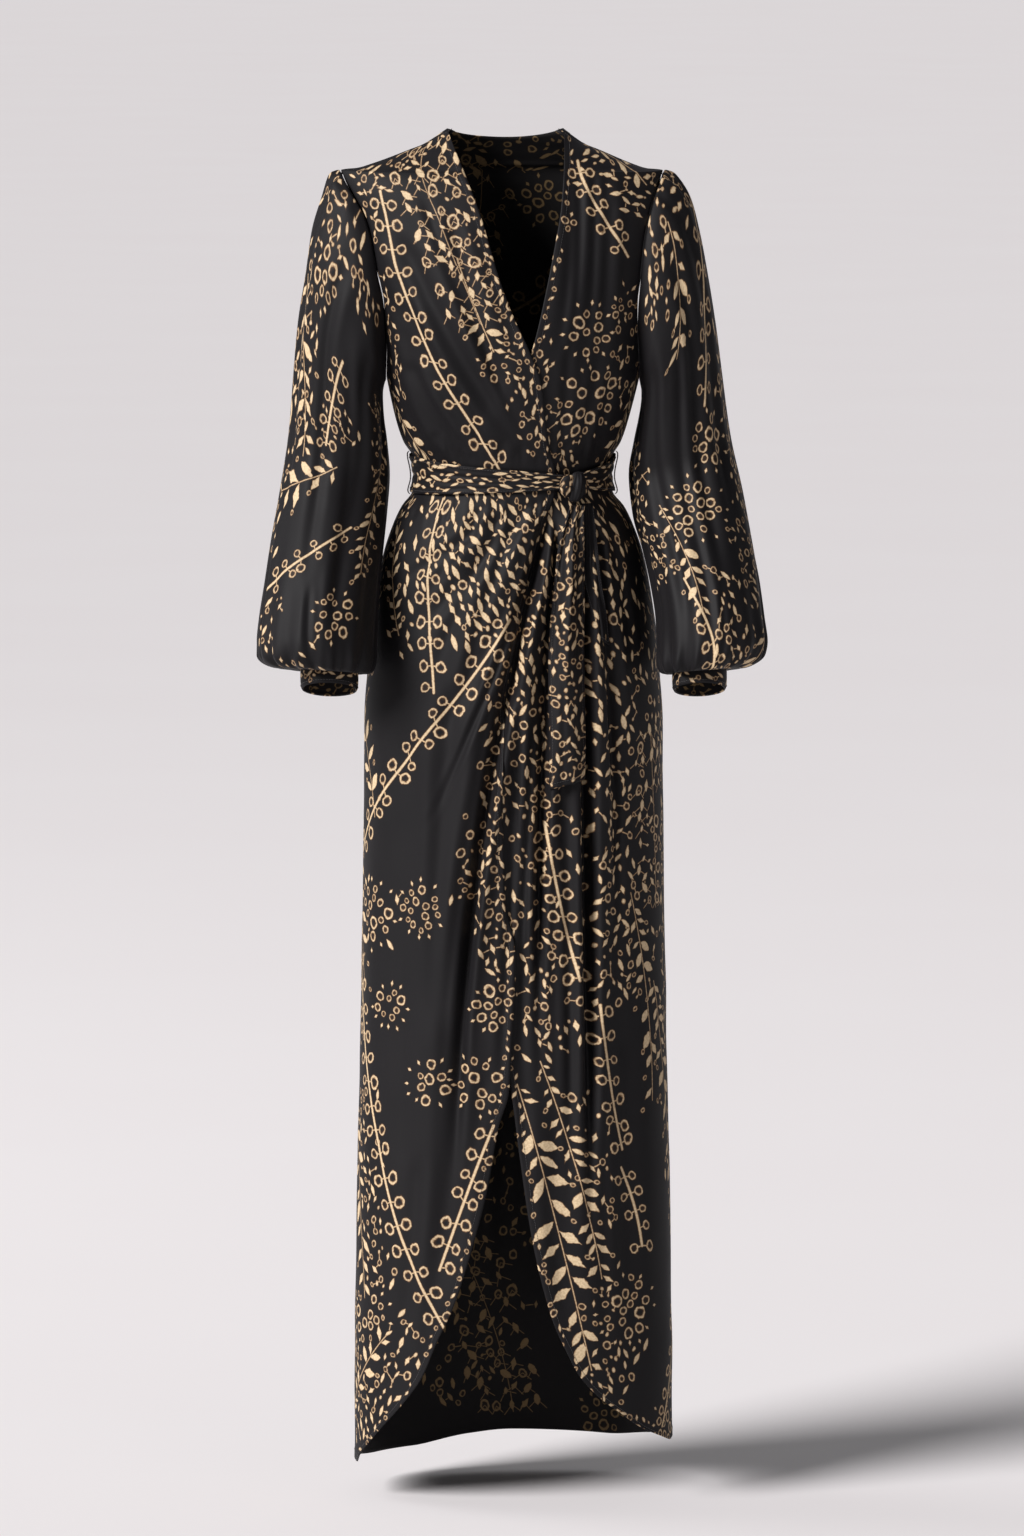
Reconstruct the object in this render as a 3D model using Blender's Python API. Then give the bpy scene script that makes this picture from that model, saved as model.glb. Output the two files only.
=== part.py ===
"""Wrap dress: bodice, bishop sleeves, tulip skirt and tied belt, as worn.

Metres, +Z up. The front faces -Y and the wearer's left is +X. The origin is on
the middle line, level with the shoulder tips: the shoulders carry the dress.

The body of the dress is one curved surface. A point on it is given by its
height and its turn: 0 at the front, +90 degrees at the wearer's left side and
180 degrees at the back. Every panel is a part of that surface, moved out by its
layer and its folds, with a wall behind it.
"""

import math
from collections import namedtuple

import bmesh
import bpy
import numpy as np

# Cloth
WALL = 0.0013
BELT_WALL = 0.0024  # the belt is the same cloth, doubled
CUFF_WALL = 0.0022
SEAM_GAP = 0.0003
LAYER_LIFT = 0.0030  # the over front lies this far outside the under front
HIDDEN_TUCK = 0.0014  # the covered strip of the under front lies this far in
LIFT_FROM, LIFT_FULL = 0.030, 0.004  # the rise onto the under front, from its edge
TUCK_FROM, TUCK_FULL = 0.014, 0.002  # the dip under the over front, from its edge

# Heights, from the shoulder tips
NECK_Z = 0.045
UNDERARM_Z = -0.225
WAIST_Z = -0.333
WRAP_TOP_Z = -0.150  # the fronts lie apart above this
HEM_Z = -1.4146  # at the right side seam
HEM_RISE = 0.0246  # the hem climbs by this to the left side seam
HEM_LEVEL_Z = -1.20  # the skirt's rows are level from here up
BACK_NECK_DROP = 0.012
BACK_NECK_FROM_Z = -0.03
LEAST_FRONT = 0.05  # a bodice front's least width, as a turn
SHOULDER_SEAM_FORWARD = 0.010  # how far the seam lies before the ridge, at the neck

# The armhole
ARMHOLE_FRONT = 0.060  # its reach forward of the shoulder ridge
ARMHOLE_BACK = 0.056
ARMHOLE_GAP = 0.0008
ARMHOLE_STEPS = 8  # rows of each bodice panel beside it

# The belt and its knot
BELT_HEIGHT = 0.040
BELT_RISE = 0.004  # its middle lies this far above the waist seam
BELT_KNOT_HEIGHT = 0.013  # it narrows to this where it runs into the knot
BELT_CLEAR = 0.0012  # its inner face outside a single layer of cloth
BELT_CLEAR_WRAP = 0.0044  # and outside the two layers of the wrap
BELT_FLAT_FROM, BELT_FLAT_TO = 0.0144, 0.0384  # folds rise between these distances from the seam
KNOT_X = 0.0642
KNOT_Z = -0.3375

BELT_FAN_LEFT = 1.0  # turns over which it widens, either way from the knot
BELT_FAN_RIGHT = 1.75
BELT_FAN_POWER = 0.8
WRAP_FROM, WRAP_FULL = -1.05, -0.45  # turns between which it climbs over both fronts
WRAP_LEAVES, WRAP_TO = 0.75, 1.15  # and comes down again

# Grids
BODICE_COLUMNS = 16
BACK_COLUMNS = 18
SKIRT_COLUMNS = 23
BODICE_STRIP_COLUMNS = 6  # of which these lie where the fronts overlap
SKIRT_STRIP_COLUMNS = 9
LEAST_STRIP = 0.08  # the strip's least width, as a turn
SLEEVE_COLUMNS = 28
CUFF_COLUMNS = 28
BELT_COLUMNS = 48
CUFF_GATHERS = 14
HEAD_GATHERS = 4
HEAD_GATHER_DEPTH = 0.0022
HEAD_SPREAD = math.radians(50)  # the gathers of a sleeve head lie within this of the shoulder tip
SEAT_RINGS = 4.5  # rings over which a sleeve leaves the armhole's line
HEAD_GATHER_RINGS = 4
CUFF_GATHER_DRIFT = 0.6
CUFF_GATHER_SWAY = 0.3
SWAY_SIDE = 0.7  # shifts the sway from one sleeve to the other

RIGHT, LEFT = -1, 1  # the wearer's sides, as signs of X
SIDE = math.pi / 2

BodyRing = namedtuple("BodyRing", "z half_width front back middle squareness")
BODY = [
    BodyRing(-1.4150, 0.1750, 0.124, 0.138, 0.0047, 2.30),
    BodyRing(-1.2700, 0.1740, 0.122, 0.135, 0.0047, 2.30),
    BodyRing(-1.1000, 0.1715, 0.119, 0.132, 0.0048, 2.30),
    BodyRing(-0.9800, 0.1686, 0.117, 0.130, 0.0048, 2.30),
    BodyRing(-0.8400, 0.1658, 0.115, 0.128, 0.0050, 2.30),
    BodyRing(-0.7100, 0.1638, 0.114, 0.127, 0.0050, 2.30),
    BodyRing(-0.6000, 0.1628, 0.113, 0.130, 0.0050, 2.32),
    BodyRing(-0.5300, 0.1580, 0.111, 0.129, 0.0050, 2.34),
    BodyRing(-0.4500, 0.1485, 0.105, 0.119, 0.0046, 2.32),
    BodyRing(-0.4150, 0.1410, 0.101, 0.110, 0.0045, 2.28),
    BodyRing(-0.3900, 0.1325, 0.097, 0.103, 0.0042, 2.25),
    BodyRing(-0.3650, 0.1205, 0.092, 0.095, 0.0040, 2.20),
    BodyRing(-0.3520, 0.1100, 0.089, 0.089, 0.0038, 2.20),
    BodyRing(-0.3330, 0.1043, 0.087, 0.086, 0.0038, 2.20),
    BodyRing(-0.3120, 0.1080, 0.091, 0.088, 0.0038, 2.20),
    BodyRing(-0.2950, 0.1180, 0.096, 0.090, 0.0036, 2.22),
    BodyRing(-0.2700, 0.1265, 0.103, 0.095, 0.0035, 2.25),
    BodyRing(-0.2250, 0.1375, 0.112, 0.102, 0.0040, 2.30),
    BodyRing(-0.1800, 0.1455, 0.115, 0.107, 0.0032, 2.30),
    BodyRing(-0.1400, 0.1540, 0.111, 0.109, 0.0020, 2.30),
    BodyRing(-0.1000, 0.1655, 0.103, 0.107, 0.0000, 2.30),
    BodyRing(-0.0500, 0.1735, 0.090, 0.101, -0.0020, 2.30),
    BodyRing(-0.0200, 0.1770, 0.080, 0.094, -0.0060, 2.25),
    BodyRing(0.0000, 0.1745, 0.068, 0.086, -0.0077, 2.20),
    BodyRing(0.0012, 0.1620, 0.066, 0.084, -0.0075, 2.20),
    BodyRing(0.0067, 0.1425, 0.063, 0.081, -0.0072, 2.15),
    BodyRing(0.0146, 0.1210, 0.057, 0.075, -0.0065, 2.12),
    BodyRing(0.0216, 0.1040, 0.052, 0.070, -0.0060, 2.10),
    BodyRing(0.0278, 0.0885, 0.047, 0.065, -0.0055, 2.05),
    BodyRing(0.0358, 0.0760, 0.040, 0.058, -0.0050, 2.00),
    BodyRing(0.0450, 0.0627, 0.030, 0.050, -0.0044, 2.00),
]

# Free front edges, as the place across at each height, from the bottom up
EdgePoint = namedtuple("EdgePoint", "z x")
OVER_NECK_EDGE = [
    EdgePoint(-0.333, 0.0520),
    EdgePoint(-0.291, 0.0429),
    EdgePoint(-0.260, 0.0388),
    EdgePoint(-0.2235, 0.0345),
    EdgePoint(-0.192, 0.0231),
    EdgePoint(-0.151, 0.0044),
    EdgePoint(-0.113, -0.0099),
    EdgePoint(-0.0435, -0.0310),
    EdgePoint(0.045, -0.0671),
]
UNDER_NECK_EDGE = [
    EdgePoint(-0.333, -0.0350),
    EdgePoint(-0.300, -0.0220),
    EdgePoint(-0.225, 0.0110),
    EdgePoint(-0.190, 0.0242),
    EdgePoint(-0.166, 0.0308),
    EdgePoint(-0.1316, 0.0385),
    EdgePoint(-0.0815, 0.0484),
    EdgePoint(-0.036, 0.0561),
    EdgePoint(0.008, 0.0594),
    EdgePoint(0.035, 0.0600),
    EdgePoint(0.045, 0.0583),
]
OVER_SKIRT_EDGE = [
    EdgePoint(-1.4146, -0.1662),
    EdgePoint(-1.404, -0.1630),
    EdgePoint(-1.378, -0.1463),
    EdgePoint(-1.340, -0.1166),
    EdgePoint(-1.310, -0.0957),
    EdgePoint(-1.268, -0.0781),
    EdgePoint(-1.230, -0.0605),
    EdgePoint(-1.168, -0.0407),
    EdgePoint(-1.099, -0.0231),
    EdgePoint(-1.031, -0.0110),
    EdgePoint(-0.993, 0.0000),
    EdgePoint(-0.960, 0.0022),
    EdgePoint(-0.848, 0.0066),
    EdgePoint(-0.774, -0.0044),
    EdgePoint(-0.655, -0.0066),
    EdgePoint(-0.568, -0.0044),
    EdgePoint(-0.525, 0.0033),
    EdgePoint(-0.459, 0.0176),
    EdgePoint(-0.400, 0.0341),
    EdgePoint(-0.333, 0.0520),
]
UNDER_SKIRT_EDGE = [
    EdgePoint(-1.3900, 0.1757),
    EdgePoint(-1.382, 0.1660),
    EdgePoint(-1.368, 0.1441),
    EdgePoint(-1.349, 0.1210),
    EdgePoint(-1.330, 0.0979),
    EdgePoint(-1.306, 0.0770),
    EdgePoint(-1.279, 0.0627),
    EdgePoint(-1.244, 0.0473),
    EdgePoint(-1.157, 0.0253),
    EdgePoint(-1.069, 0.0121),
    EdgePoint(-1.000, 0.0033),
    EdgePoint(-0.960, -0.0040),
    EdgePoint(-0.900, -0.0120),
    EdgePoint(-0.800, -0.0210),
    EdgePoint(-0.650, -0.0330),
    EdgePoint(-0.500, -0.0420),
    EdgePoint(-0.333, -0.0400),
]

BODICE_TOP_LEVELS = [NECK_Z, 0.0345, 0.0235, 0.0125, 0.0042, 0.0]
BODICE_LOW_LEVELS = [-0.256, -0.287, -0.312, WAIST_Z + SEAM_GAP / 2]
SKIRT_LEVELS = [
    WAIST_Z - SEAM_GAP / 2,
    -0.350,
    -0.365,
    -0.390,
    -0.425,
    -0.475,
    -0.545,
    -0.635,
    -0.740,
    -0.850,
    -0.960,
    -1.055,
    -1.140,
    -1.215,
    -1.274,
    -1.320,
    -1.356,
    -1.387,
    HEM_Z,
]

# The hem of the back panel, from the left side seam round to the right one
HemPoint = namedtuple("HemPoint", "degrees z")
BACK_HEM = [
    HemPoint(90, HEM_Z + HEM_RISE),
    HemPoint(126, -1.4040),
    HemPoint(147, -1.4105),
    HemPoint(180, -1.4095),
    HemPoint(193, -1.4135),
    HemPoint(217, -1.4240),
    HemPoint(238, -1.4245),
    HemPoint(270, HEM_Z),
]

# A fold is a soft trough between two rolls. Its line bends through three points.
FOLD_STARTS = 0.12  # shares of its length over which it deepens and from which it fades
FOLD_FADES = 0.55
ROLL_PLACE = 1.9  # in widths from the trough
ROLL_SHARE = 0.4
FOLD_SIDE_POWER = 8  # how sharply folds die out at the side seams
FOLD_UNDER_BELT = 0.15  # the share of them that stays under the belt
Fold = namedtuple("Fold", "z_top x_top x_middle z_low x_low depth width")
SKIRT_FRONT_FOLDS = [
    Fold(-0.345, 0.050, -0.0308, -1.020, -0.0600, 0.0105, 0.0095),
    Fold(-0.345, 0.057, 0.0355, -0.900, 0.0340, 0.0085, 0.0085),
    Fold(-0.345, 0.078, 0.0865, -1.130, 0.0890, 0.0090, 0.0090),
    Fold(-0.348, 0.046, -0.0150, -0.640, -0.0950, 0.0040, 0.0100),
    Fold(-0.348, 0.034, -0.0450, -0.520, -0.1250, 0.0030, 0.0090),
    Fold(-0.350, 0.094, 0.1120, -0.760, 0.1220, 0.0045, 0.0090),
    Fold(-0.560, -0.112, -0.1200, -1.180, -0.1180, 0.0040, 0.0130),
    Fold(-0.900, 0.125, 0.1300, -1.360, 0.1330, 0.0040, 0.0130),
    Fold(-0.900, -0.060, -0.0640, -1.290, -0.0980, 0.0045, 0.0120),
    Fold(-1.000, 0.052, 0.0580, -1.290, 0.0760, 0.0035, 0.0110),
]
SKIRT_BACK_FOLDS = [
    Fold(-0.480, -0.118, -0.1240, -1.390, -0.1300, 0.0060, 0.0130),
    Fold(-0.430, -0.072, -0.0740, -1.360, -0.0820, 0.0075, 0.0130),
    Fold(-0.520, -0.020, -0.0260, -1.400, -0.0240, 0.0065, 0.0140),
    Fold(-0.440, 0.034, 0.0370, -1.380, 0.0440, 0.0080, 0.0130),
    Fold(-0.500, 0.086, 0.0900, -1.340, 0.0960, 0.0060, 0.0130),
    Fold(-0.640, 0.128, 0.1320, -1.380, 0.1360, 0.0040, 0.0110),
]
BODICE_FRONT_FOLDS = [
    Fold(-0.060, -0.120, -0.0560, -0.322, 0.0340, 0.0045, 0.0100),
    Fold(-0.130, -0.118, -0.0760, -0.325, 0.0020, 0.0040, 0.0090),
    Fold(-0.040, -0.066, -0.0270, -0.300, 0.0270, 0.0030, 0.0080),
    Fold(-0.200, -0.110, -0.0830, -0.325, -0.0420, 0.0035, 0.0080),
    Fold(0.015, 0.068, 0.0680, -0.200, 0.0520, 0.0035, 0.0070),
    Fold(0.012, 0.083, 0.0830, -0.260, 0.0700, 0.0040, 0.0075),
    Fold(0.008, 0.101, 0.0980, -0.300, 0.0850, 0.0035, 0.0080),
    Fold(-0.210, 0.112, 0.1040, -0.325, 0.0900, 0.0030, 0.0070),
]
BODICE_BACK_FOLDS = [
    Fold(-0.120, -0.098, -0.0860, -0.325, -0.0640, 0.0035, 0.0110),
    Fold(-0.150, 0.102, 0.0880, -0.325, 0.0660, 0.0035, 0.0110),
]

# Short gathers that fan out from the waist seam, uneven by these waves
GATHER_DRIFT, GATHER_DRIFT_WAVE = 0.22, 2.7
GATHER_REACH, GATHER_REACH_WAVE = 0.35, 4.1
GATHER_DEPTH, GATHER_DEPTH_WAVE = 0.4, 1.9
GATHER_START = 0.004
Gathers = namedtuple("Gathers", "count x_first x_last reach depth width fan")
SKIRT_FRONT_GATHERS = Gathers(9, -0.085, 0.095, 0.075, 0.0016, 0.0050, 1.25)
SKIRT_BACK_GATHERS = Gathers(10, -0.088, 0.092, 0.090, 0.0022, 0.0050, 1.30)
BODICE_FRONT_GATHERS = Gathers(8, -0.088, 0.094, 0.055, 0.0014, 0.0050, 1.12)
BODICE_BACK_GATHERS = Gathers(9, -0.085, 0.090, 0.070, 0.0020, 0.0050, 1.15)

# Rings of a sleeve from the armhole down. Each plane crosses the arm from its
# outer to its inner point; X is given as the distance out from the middle.
SleeveRing = namedtuple(
    "SleeveRing",
    "outer_z inner_z right_outer right_inner left_outer left_inner middle_y half_depth tilt gather",
)
SLEEVE = [
    SleeveRing(0.0000, -0.2250, 0.1822, 0.1335, 0.1668, 0.1415, 0.000, 0.055, 0, 0.0),
    SleeveRing(-0.0120, -0.2310, 0.1930, 0.1360, 0.1795, 0.1430, -0.002, 0.061, 0, 0.0),
    SleeveRing(-0.0340, -0.2380, 0.2015, 0.1370, 0.1955, 0.1440, -0.003, 0.066, 0, 0.0),
    SleeveRing(-0.0660, -0.2460, 0.2130, 0.1372, 0.2060, 0.1440, -0.003, 0.069, 0, 0.0),
    SleeveRing(-0.1120, -0.2570, 0.2208, 0.1368, 0.2160, 0.1430, -0.002, 0.070, 0, 0.0),
    SleeveRing(-0.1650, -0.2720, 0.2292, 0.1355, 0.2245, 0.1405, 0.000, 0.069, 0, 0.0),
    SleeveRing(-0.2220, -0.2950, 0.2345, 0.1325, 0.2320, 0.1360, 0.002, 0.068, 0, 0.0),
    SleeveRing(-0.2900, -0.3300, 0.2405, 0.1300, 0.2415, 0.1310, 0.002, 0.068, 2, 0.0003),
    SleeveRing(-0.3480, -0.3730, 0.2490, 0.1330, 0.2538, 0.1350, -0.014, 0.070, 4, 0.0006),
    SleeveRing(-0.4010, -0.4110, 0.2580, 0.1370, 0.2632, 0.1455, -0.034, 0.073, 8, 0.0010),
    SleeveRing(-0.4440, -0.4490, 0.2642, 0.1405, 0.2705, 0.1540, -0.055, 0.075, 10, 0.0016),
    SleeveRing(-0.4800, -0.4820, 0.2698, 0.1425, 0.2752, 0.1590, -0.070, 0.076, 10, 0.0024),
    SleeveRing(-0.5050, -0.5070, 0.2725, 0.1440, 0.2785, 0.1605, -0.080, 0.075, 8, 0.0032),
    SleeveRing(-0.5200, -0.5260, 0.2712, 0.1455, 0.2740, 0.1610, -0.086, 0.070, 6, 0.0038),
    SleeveRing(-0.5292, -0.5380, 0.2630, 0.1510, 0.2630, 0.1650, -0.090, 0.058, 5, 0.0036),
    SleeveRing(-0.5345, -0.5405, 0.2465, 0.1575, 0.2485, 0.1705, -0.091, 0.044, 8, 0.0022),
    SleeveRing(-0.5305, -0.5320, 0.2245, 0.1640, 0.2344, 0.1775, -0.090, 0.0285, 21, 0.0),
]
FINE_FROM_RING = 8  # from here down a sleeve has twice the columns
CUFF_LENGTH = 0.0265
CUFF_TILT = math.radians(21)
CUFF_SWELL = 0.0012

# Lines along the belt: the place up its half height, and how far it swells
BeltRow = namedtuple("BeltRow", "up crease")
BELT_CREASE_SWAY = 0.5
BELT_CREASE_WAVES = 3
BELT_CREASE_SHIFT = 4
BELT_ROWS = [
    BeltRow(1, 0.0),
    BeltRow(0.35, 0.0009),
    BeltRow(-0.3, 0.0002),
    BeltRow(-1, 0.0),
]

# The knot, ring by ring along the belt: left lobe, the wrap round it, right lobe
KnotRing = namedtuple("KnotRing", "along half_height half_depth out")
KNOT = [
    KnotRing(-0.0170, 0.0030, 0.0030, 0.0065),
    KnotRing(-0.0150, 0.0075, 0.0055, 0.0080),
    KnotRing(-0.0110, 0.0115, 0.0075, 0.0095),
    KnotRing(-0.0070, 0.0115, 0.0078, 0.0100),
    KnotRing(-0.0050, 0.0150, 0.0090, 0.0108),
    KnotRing(0.0010, 0.0165, 0.0098, 0.0115),
    KnotRing(0.0065, 0.0150, 0.0090, 0.0108),
    KnotRing(0.0085, 0.0105, 0.0075, 0.0095),
    KnotRing(0.0125, 0.0080, 0.0060, 0.0080),
    KnotRing(0.0155, 0.0030, 0.0030, 0.0065),
]
KNOT_COLUMNS = 14
KNOT_SEAT = 0.0056  # the knot's back stands this far outside the front

# The free ends of the belt, down the front from the knot
TailRow = namedtuple("TailRow", "z x half_width out crease")
LONG_TAIL = [
    TailRow(-0.3575, 0.0675, 0.0070, 0.0130, 0.0012),
    TailRow(-0.3720, 0.0662, 0.0092, 0.0105, 0.0016),
    TailRow(-0.4000, 0.0648, 0.0135, 0.0080, 0.0018),
    TailRow(-0.4400, 0.0643, 0.0165, 0.0068, 0.0016),
    TailRow(-0.4900, 0.0632, 0.0188, 0.0066, 0.0012),
    TailRow(-0.5400, 0.0625, 0.0197, 0.0062, 0.0010),
    TailRow(-0.5900, 0.0622, 0.0200, 0.0050, 0.0008),
    TailRow(-0.6280, 0.0620, 0.0200, 0.0052, 0.0006),
    TailRow(-0.6580, 0.0618, 0.0200, 0.0055, 0.0004),
]
SHORT_TAIL = [
    TailRow(-0.3560, 0.0790, 0.0050, 0.0085, 0.0008),
    TailRow(-0.3720, 0.0820, 0.0062, 0.0052, 0.0012),
    TailRow(-0.4000, 0.0855, 0.0076, 0.0026, 0.0012),
    TailRow(-0.4400, 0.0905, 0.0080, 0.0021, 0.0010),
    TailRow(-0.4800, 0.0965, 0.0080, 0.0018, 0.0008),
    TailRow(-0.5040, 0.1000, 0.0080, 0.0016, 0.0006),
]
TAIL_COLUMNS = 4
TAIL_FREE_Z, TAIL_FOLDS_Z = -0.36, -0.42  # between these a tail takes up the folds behind it
TAIL_SLANT_ROWS = 2
TAIL_SLANT = 0.010  # the cut end of a tail is this much longer on one side

LOOP_HALF_HEIGHT = 0.0235
LOOP_HALF_TURN = 0.0122  # half its width, as a turn
LOOP_WALL = 0.0012
LOOP_CLEAR = 0.0016
LOOP_SEAT = 3 * SEAM_GAP  # its ends stand this far outside the cloth
LOOP_ROWS = 8
LOOP_SQUARENESS = 16

Finish = namedtuple("Finish", "name colour roughness")
PRINTED_CLOTH = Finish("printed crepe", (0.014, 0.013, 0.015), 0.62)
THREAD = Finish("sewing thread", (0.010, 0.010, 0.011), 0.70)


def smooth_curve(places, values, at):
    """A monotone cubic through the values, which adds no bumps of its own."""
    xs = np.asarray(places, float)
    ys = np.asarray(values, float)
    at = np.clip(at, xs[0], xs[-1])
    step = np.diff(xs)
    slope = np.diff(ys) / step
    same_way = slope[:-1] * slope[1:] > 0
    first = 2 * step[1:] + step[:-1]
    second = step[1:] + 2 * step[:-1]
    before = np.where(same_way, slope[:-1], 1)
    after = np.where(same_way, slope[1:], 1)
    lean = np.concatenate([slope[:1], np.zeros(len(xs) - 2), slope[-1:]])
    lean[1:-1] = np.where(same_way, (first + second) / (first / before + second / after), 0)
    i = np.clip(np.searchsorted(xs, at, side="right") - 1, 0, len(step) - 1)
    t = (at - xs[i]) / step[i]
    near = ys[i] * (1 + 2 * t) + step[i] * lean[i] * t
    far = ys[i + 1] * (3 - 2 * t) + step[i] * lean[i + 1] * (t - 1)
    return near * (1 - t) ** 2 + far * t**2


def column(table, name):
    return [getattr(row, name) for row in table]


def edge_x(edge, z):
    return smooth_curve(column(edge, "z"), column(edge, "x"), z)


def ease(start, end, value):
    """0 before start, 1 past end, and a smooth step between them."""
    t = np.clip((value - start) / (end - start), 0, 1)
    return t * t * (3 - 2 * t)


def body_sizes(z):
    """Half width, front depth, back depth, middle and squareness at each height."""
    heights = column(BODY, "z")
    return [smooth_curve(heights, column(BODY, name), z) for name in BodyRing._fields[1:]]


def on_body(z, turn):
    """Points of the dress's outer surface at these heights and turns."""
    half_width, front, back, middle, squareness = body_sizes(z)
    power = 2 / squareness
    across = np.sin(turn)
    ahead = np.cos(turn)
    x = middle + half_width * np.sign(across) * np.abs(across) ** power
    depth = np.where(ahead > 0, front, back)
    y = -np.sign(ahead) * depth * np.abs(ahead) ** power
    return np.stack(np.broadcast_arrays(x, y, z), axis=-1)


def body_normal(z, turn):
    """The surface's outward direction, from its slopes both ways."""
    nudge_z, nudge_turn = 0.0015, 0.01
    along = on_body(z, turn + nudge_turn) - on_body(z, turn - nudge_turn)
    upward = on_body(z + nudge_z, turn) - on_body(z - nudge_z, turn)
    normal = np.cross(along, upward)
    return normal / np.linalg.norm(normal, axis=-1, keepdims=True)


def level_normal(z, turn):
    """The outward direction kept level, for what hangs outside the panels."""
    normal = body_normal(z, turn)
    normal[..., 2] = 0
    return normal / np.linalg.norm(normal, axis=-1, keepdims=True)


def front_turn(z, x):
    """The turn of a front point by its place across."""
    half_width, _, _, middle, squareness = body_sizes(z)
    share = np.clip((x - middle) / half_width, -1, 1)
    return np.sign(share) * np.arcsin(np.abs(share) ** (squareness / 2))


def depth_turn(z, depth, ahead):
    """How far from the front, or from the back, the surface is this deep."""
    _, front, back, _, squareness = body_sizes(z)
    share = np.clip(depth / (front if ahead else back), 0, 1)
    turn = np.arccos(share ** (squareness / 2))
    return turn if ahead else math.pi - turn


def armhole_level(angle):
    middle = UNDERARM_Z / 2
    return middle - middle * np.cos(angle)


def armhole_turn(z, ahead):
    """The turn of the armhole's edge on the front or the back at this height."""
    share = np.clip(1 - z / (UNDERARM_Z / 2), -1, 1)
    reach = ARMHOLE_FRONT if ahead else ARMHOLE_BACK
    return depth_turn(z, reach * np.sqrt(1 - share**2), ahead)


def shoulder_seam_turn(z):
    """The shoulder seam, which drifts forward from the tip to the neck."""
    forward = SHOULDER_SEAM_FORWARD * np.clip(z / NECK_Z, 0, 1)
    return depth_turn(z, forward, True)


def side_turn(z, ahead):
    """Where a panel ends at the side: side seam, armhole or shoulder seam."""
    in_armhole = (z < 0) & (z > UNDERARM_Z)
    seam = np.where(z >= 0, shoulder_seam_turn(z), SIDE)
    return np.where(in_armhole, armhole_turn(z, ahead), seam)


def fold_relief(folds, x, z):
    """How far the folds move the cloth out, negative in their troughs."""
    relief = np.zeros(np.broadcast(x, z).shape)
    for fold in folds:
        length = fold.z_top - fold.z_low
        t = np.clip((fold.z_top - z) / length, 0, 1)
        start = fold.x_top * (1 - t) * (1 - 2 * t)
        line = start + fold.x_middle * 4 * t * (1 - t) + fold.x_low * t * (2 * t - 1)
        slant = (fold.x_low - fold.x_top) / length
        across = (x - line) / (fold.width * math.sqrt(1 + slant**2))
        strength = ease(0, FOLD_STARTS, t) * (1 - ease(FOLD_FADES, 1, t))
        rolls = np.exp(-((across - ROLL_PLACE) ** 2)) + np.exp(-((across + ROLL_PLACE) ** 2))
        relief += fold.depth * strength * (ROLL_SHARE * rolls - np.exp(-(across**2)))
    return relief


def waist_folds(gathers, downward):
    """One short fold for each gather, uneven in place, length and depth."""
    folds = []
    for k in range(gathers.count):
        drift = GATHER_DRIFT * math.sin(GATHER_DRIFT_WAVE * k + 1)
        share = (k + 0.5 + drift) / gathers.count
        x = gathers.x_first + (gathers.x_last - gathers.x_first) * share
        reach = gathers.reach * (1 + GATHER_REACH * math.sin(GATHER_REACH_WAVE * k))
        depth = gathers.depth * (1 + GATHER_DEPTH * math.sin(GATHER_DEPTH_WAVE * k + 2))
        near, far = WAIST_Z + GATHER_START * downward, WAIST_Z - reach * downward
        x_far = x * gathers.fan
        top, low = (near, far) if downward > 0 else (far, near)
        x_top, x_low = (x, x_far) if downward > 0 else (x_far, x)
        folds.append(Fold(top, x_top, (x_top + x_low) / 2, low, x_low, depth, gathers.width))
    return folds


SKIRT_FRONT = SKIRT_FRONT_FOLDS + waist_folds(SKIRT_FRONT_GATHERS, 1)
SKIRT_BACK = SKIRT_BACK_FOLDS + waist_folds(SKIRT_BACK_GATHERS, 1)
BODICE_FRONT = BODICE_FRONT_FOLDS + waist_folds(BODICE_FRONT_GATHERS, -1)
BODICE_BACK = BODICE_BACK_FOLDS + waist_folds(BODICE_BACK_GATHERS, -1)


def relief_on(folds, x, z):
    """Folds die out at the side seams and lie flat under the belt."""
    half_width, _, _, middle, _ = body_sizes(z)
    inside = 1 - np.clip(np.abs(x - middle) / half_width, 0, 1) ** FOLD_SIDE_POWER
    clear = ease(BELT_FLAT_FROM, BELT_FLAT_TO, np.abs(z - WAIST_Z))
    free_of_belt = FOLD_UNDER_BELT + (1 - FOLD_UNDER_BELT) * clear
    return fold_relief(folds, x, z) * inside * free_of_belt


def over_lift(under_edge, x, z):
    """The over front rises from its own level to lie on the under front."""
    covered = edge_x(under_edge, z)
    return LAYER_LIFT * ease(covered - LIFT_FROM, covered - LIFT_FULL, x)


def under_tuck(over_edge, x, z):
    """The under front dips where the over front covers it."""
    free = edge_x(over_edge, z)
    return -HIDDEN_TUCK * (1 - ease(free - TUCK_FROM, free - TUCK_FULL, x))


def row_triangles(first, second, closed, mirrored=False):
    """Triangles between two rows of points; the second may have twice as many.
    Mirrored cuts each four-sided cell along its other diagonal."""
    triangles = []
    double = len(second) >= 2 * len(first) - 1 and len(second) > len(first)
    for j in range(len(first) - (0 if closed else 1)):
        a, b = first[j], first[(j + 1) % len(first)]
        if double:
            c, d, e = (second[(2 * j + k) % len(second)] for k in range(3))
            triangles += [(a, c, d), (a, d, b), (b, d, e)]
        else:
            c, d = second[j], second[(j + 1) % len(second)]
            triangles += [(a, c, b), (b, c, d)] if mirrored else [(a, c, d), (a, d, b)]
    return triangles


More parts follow.
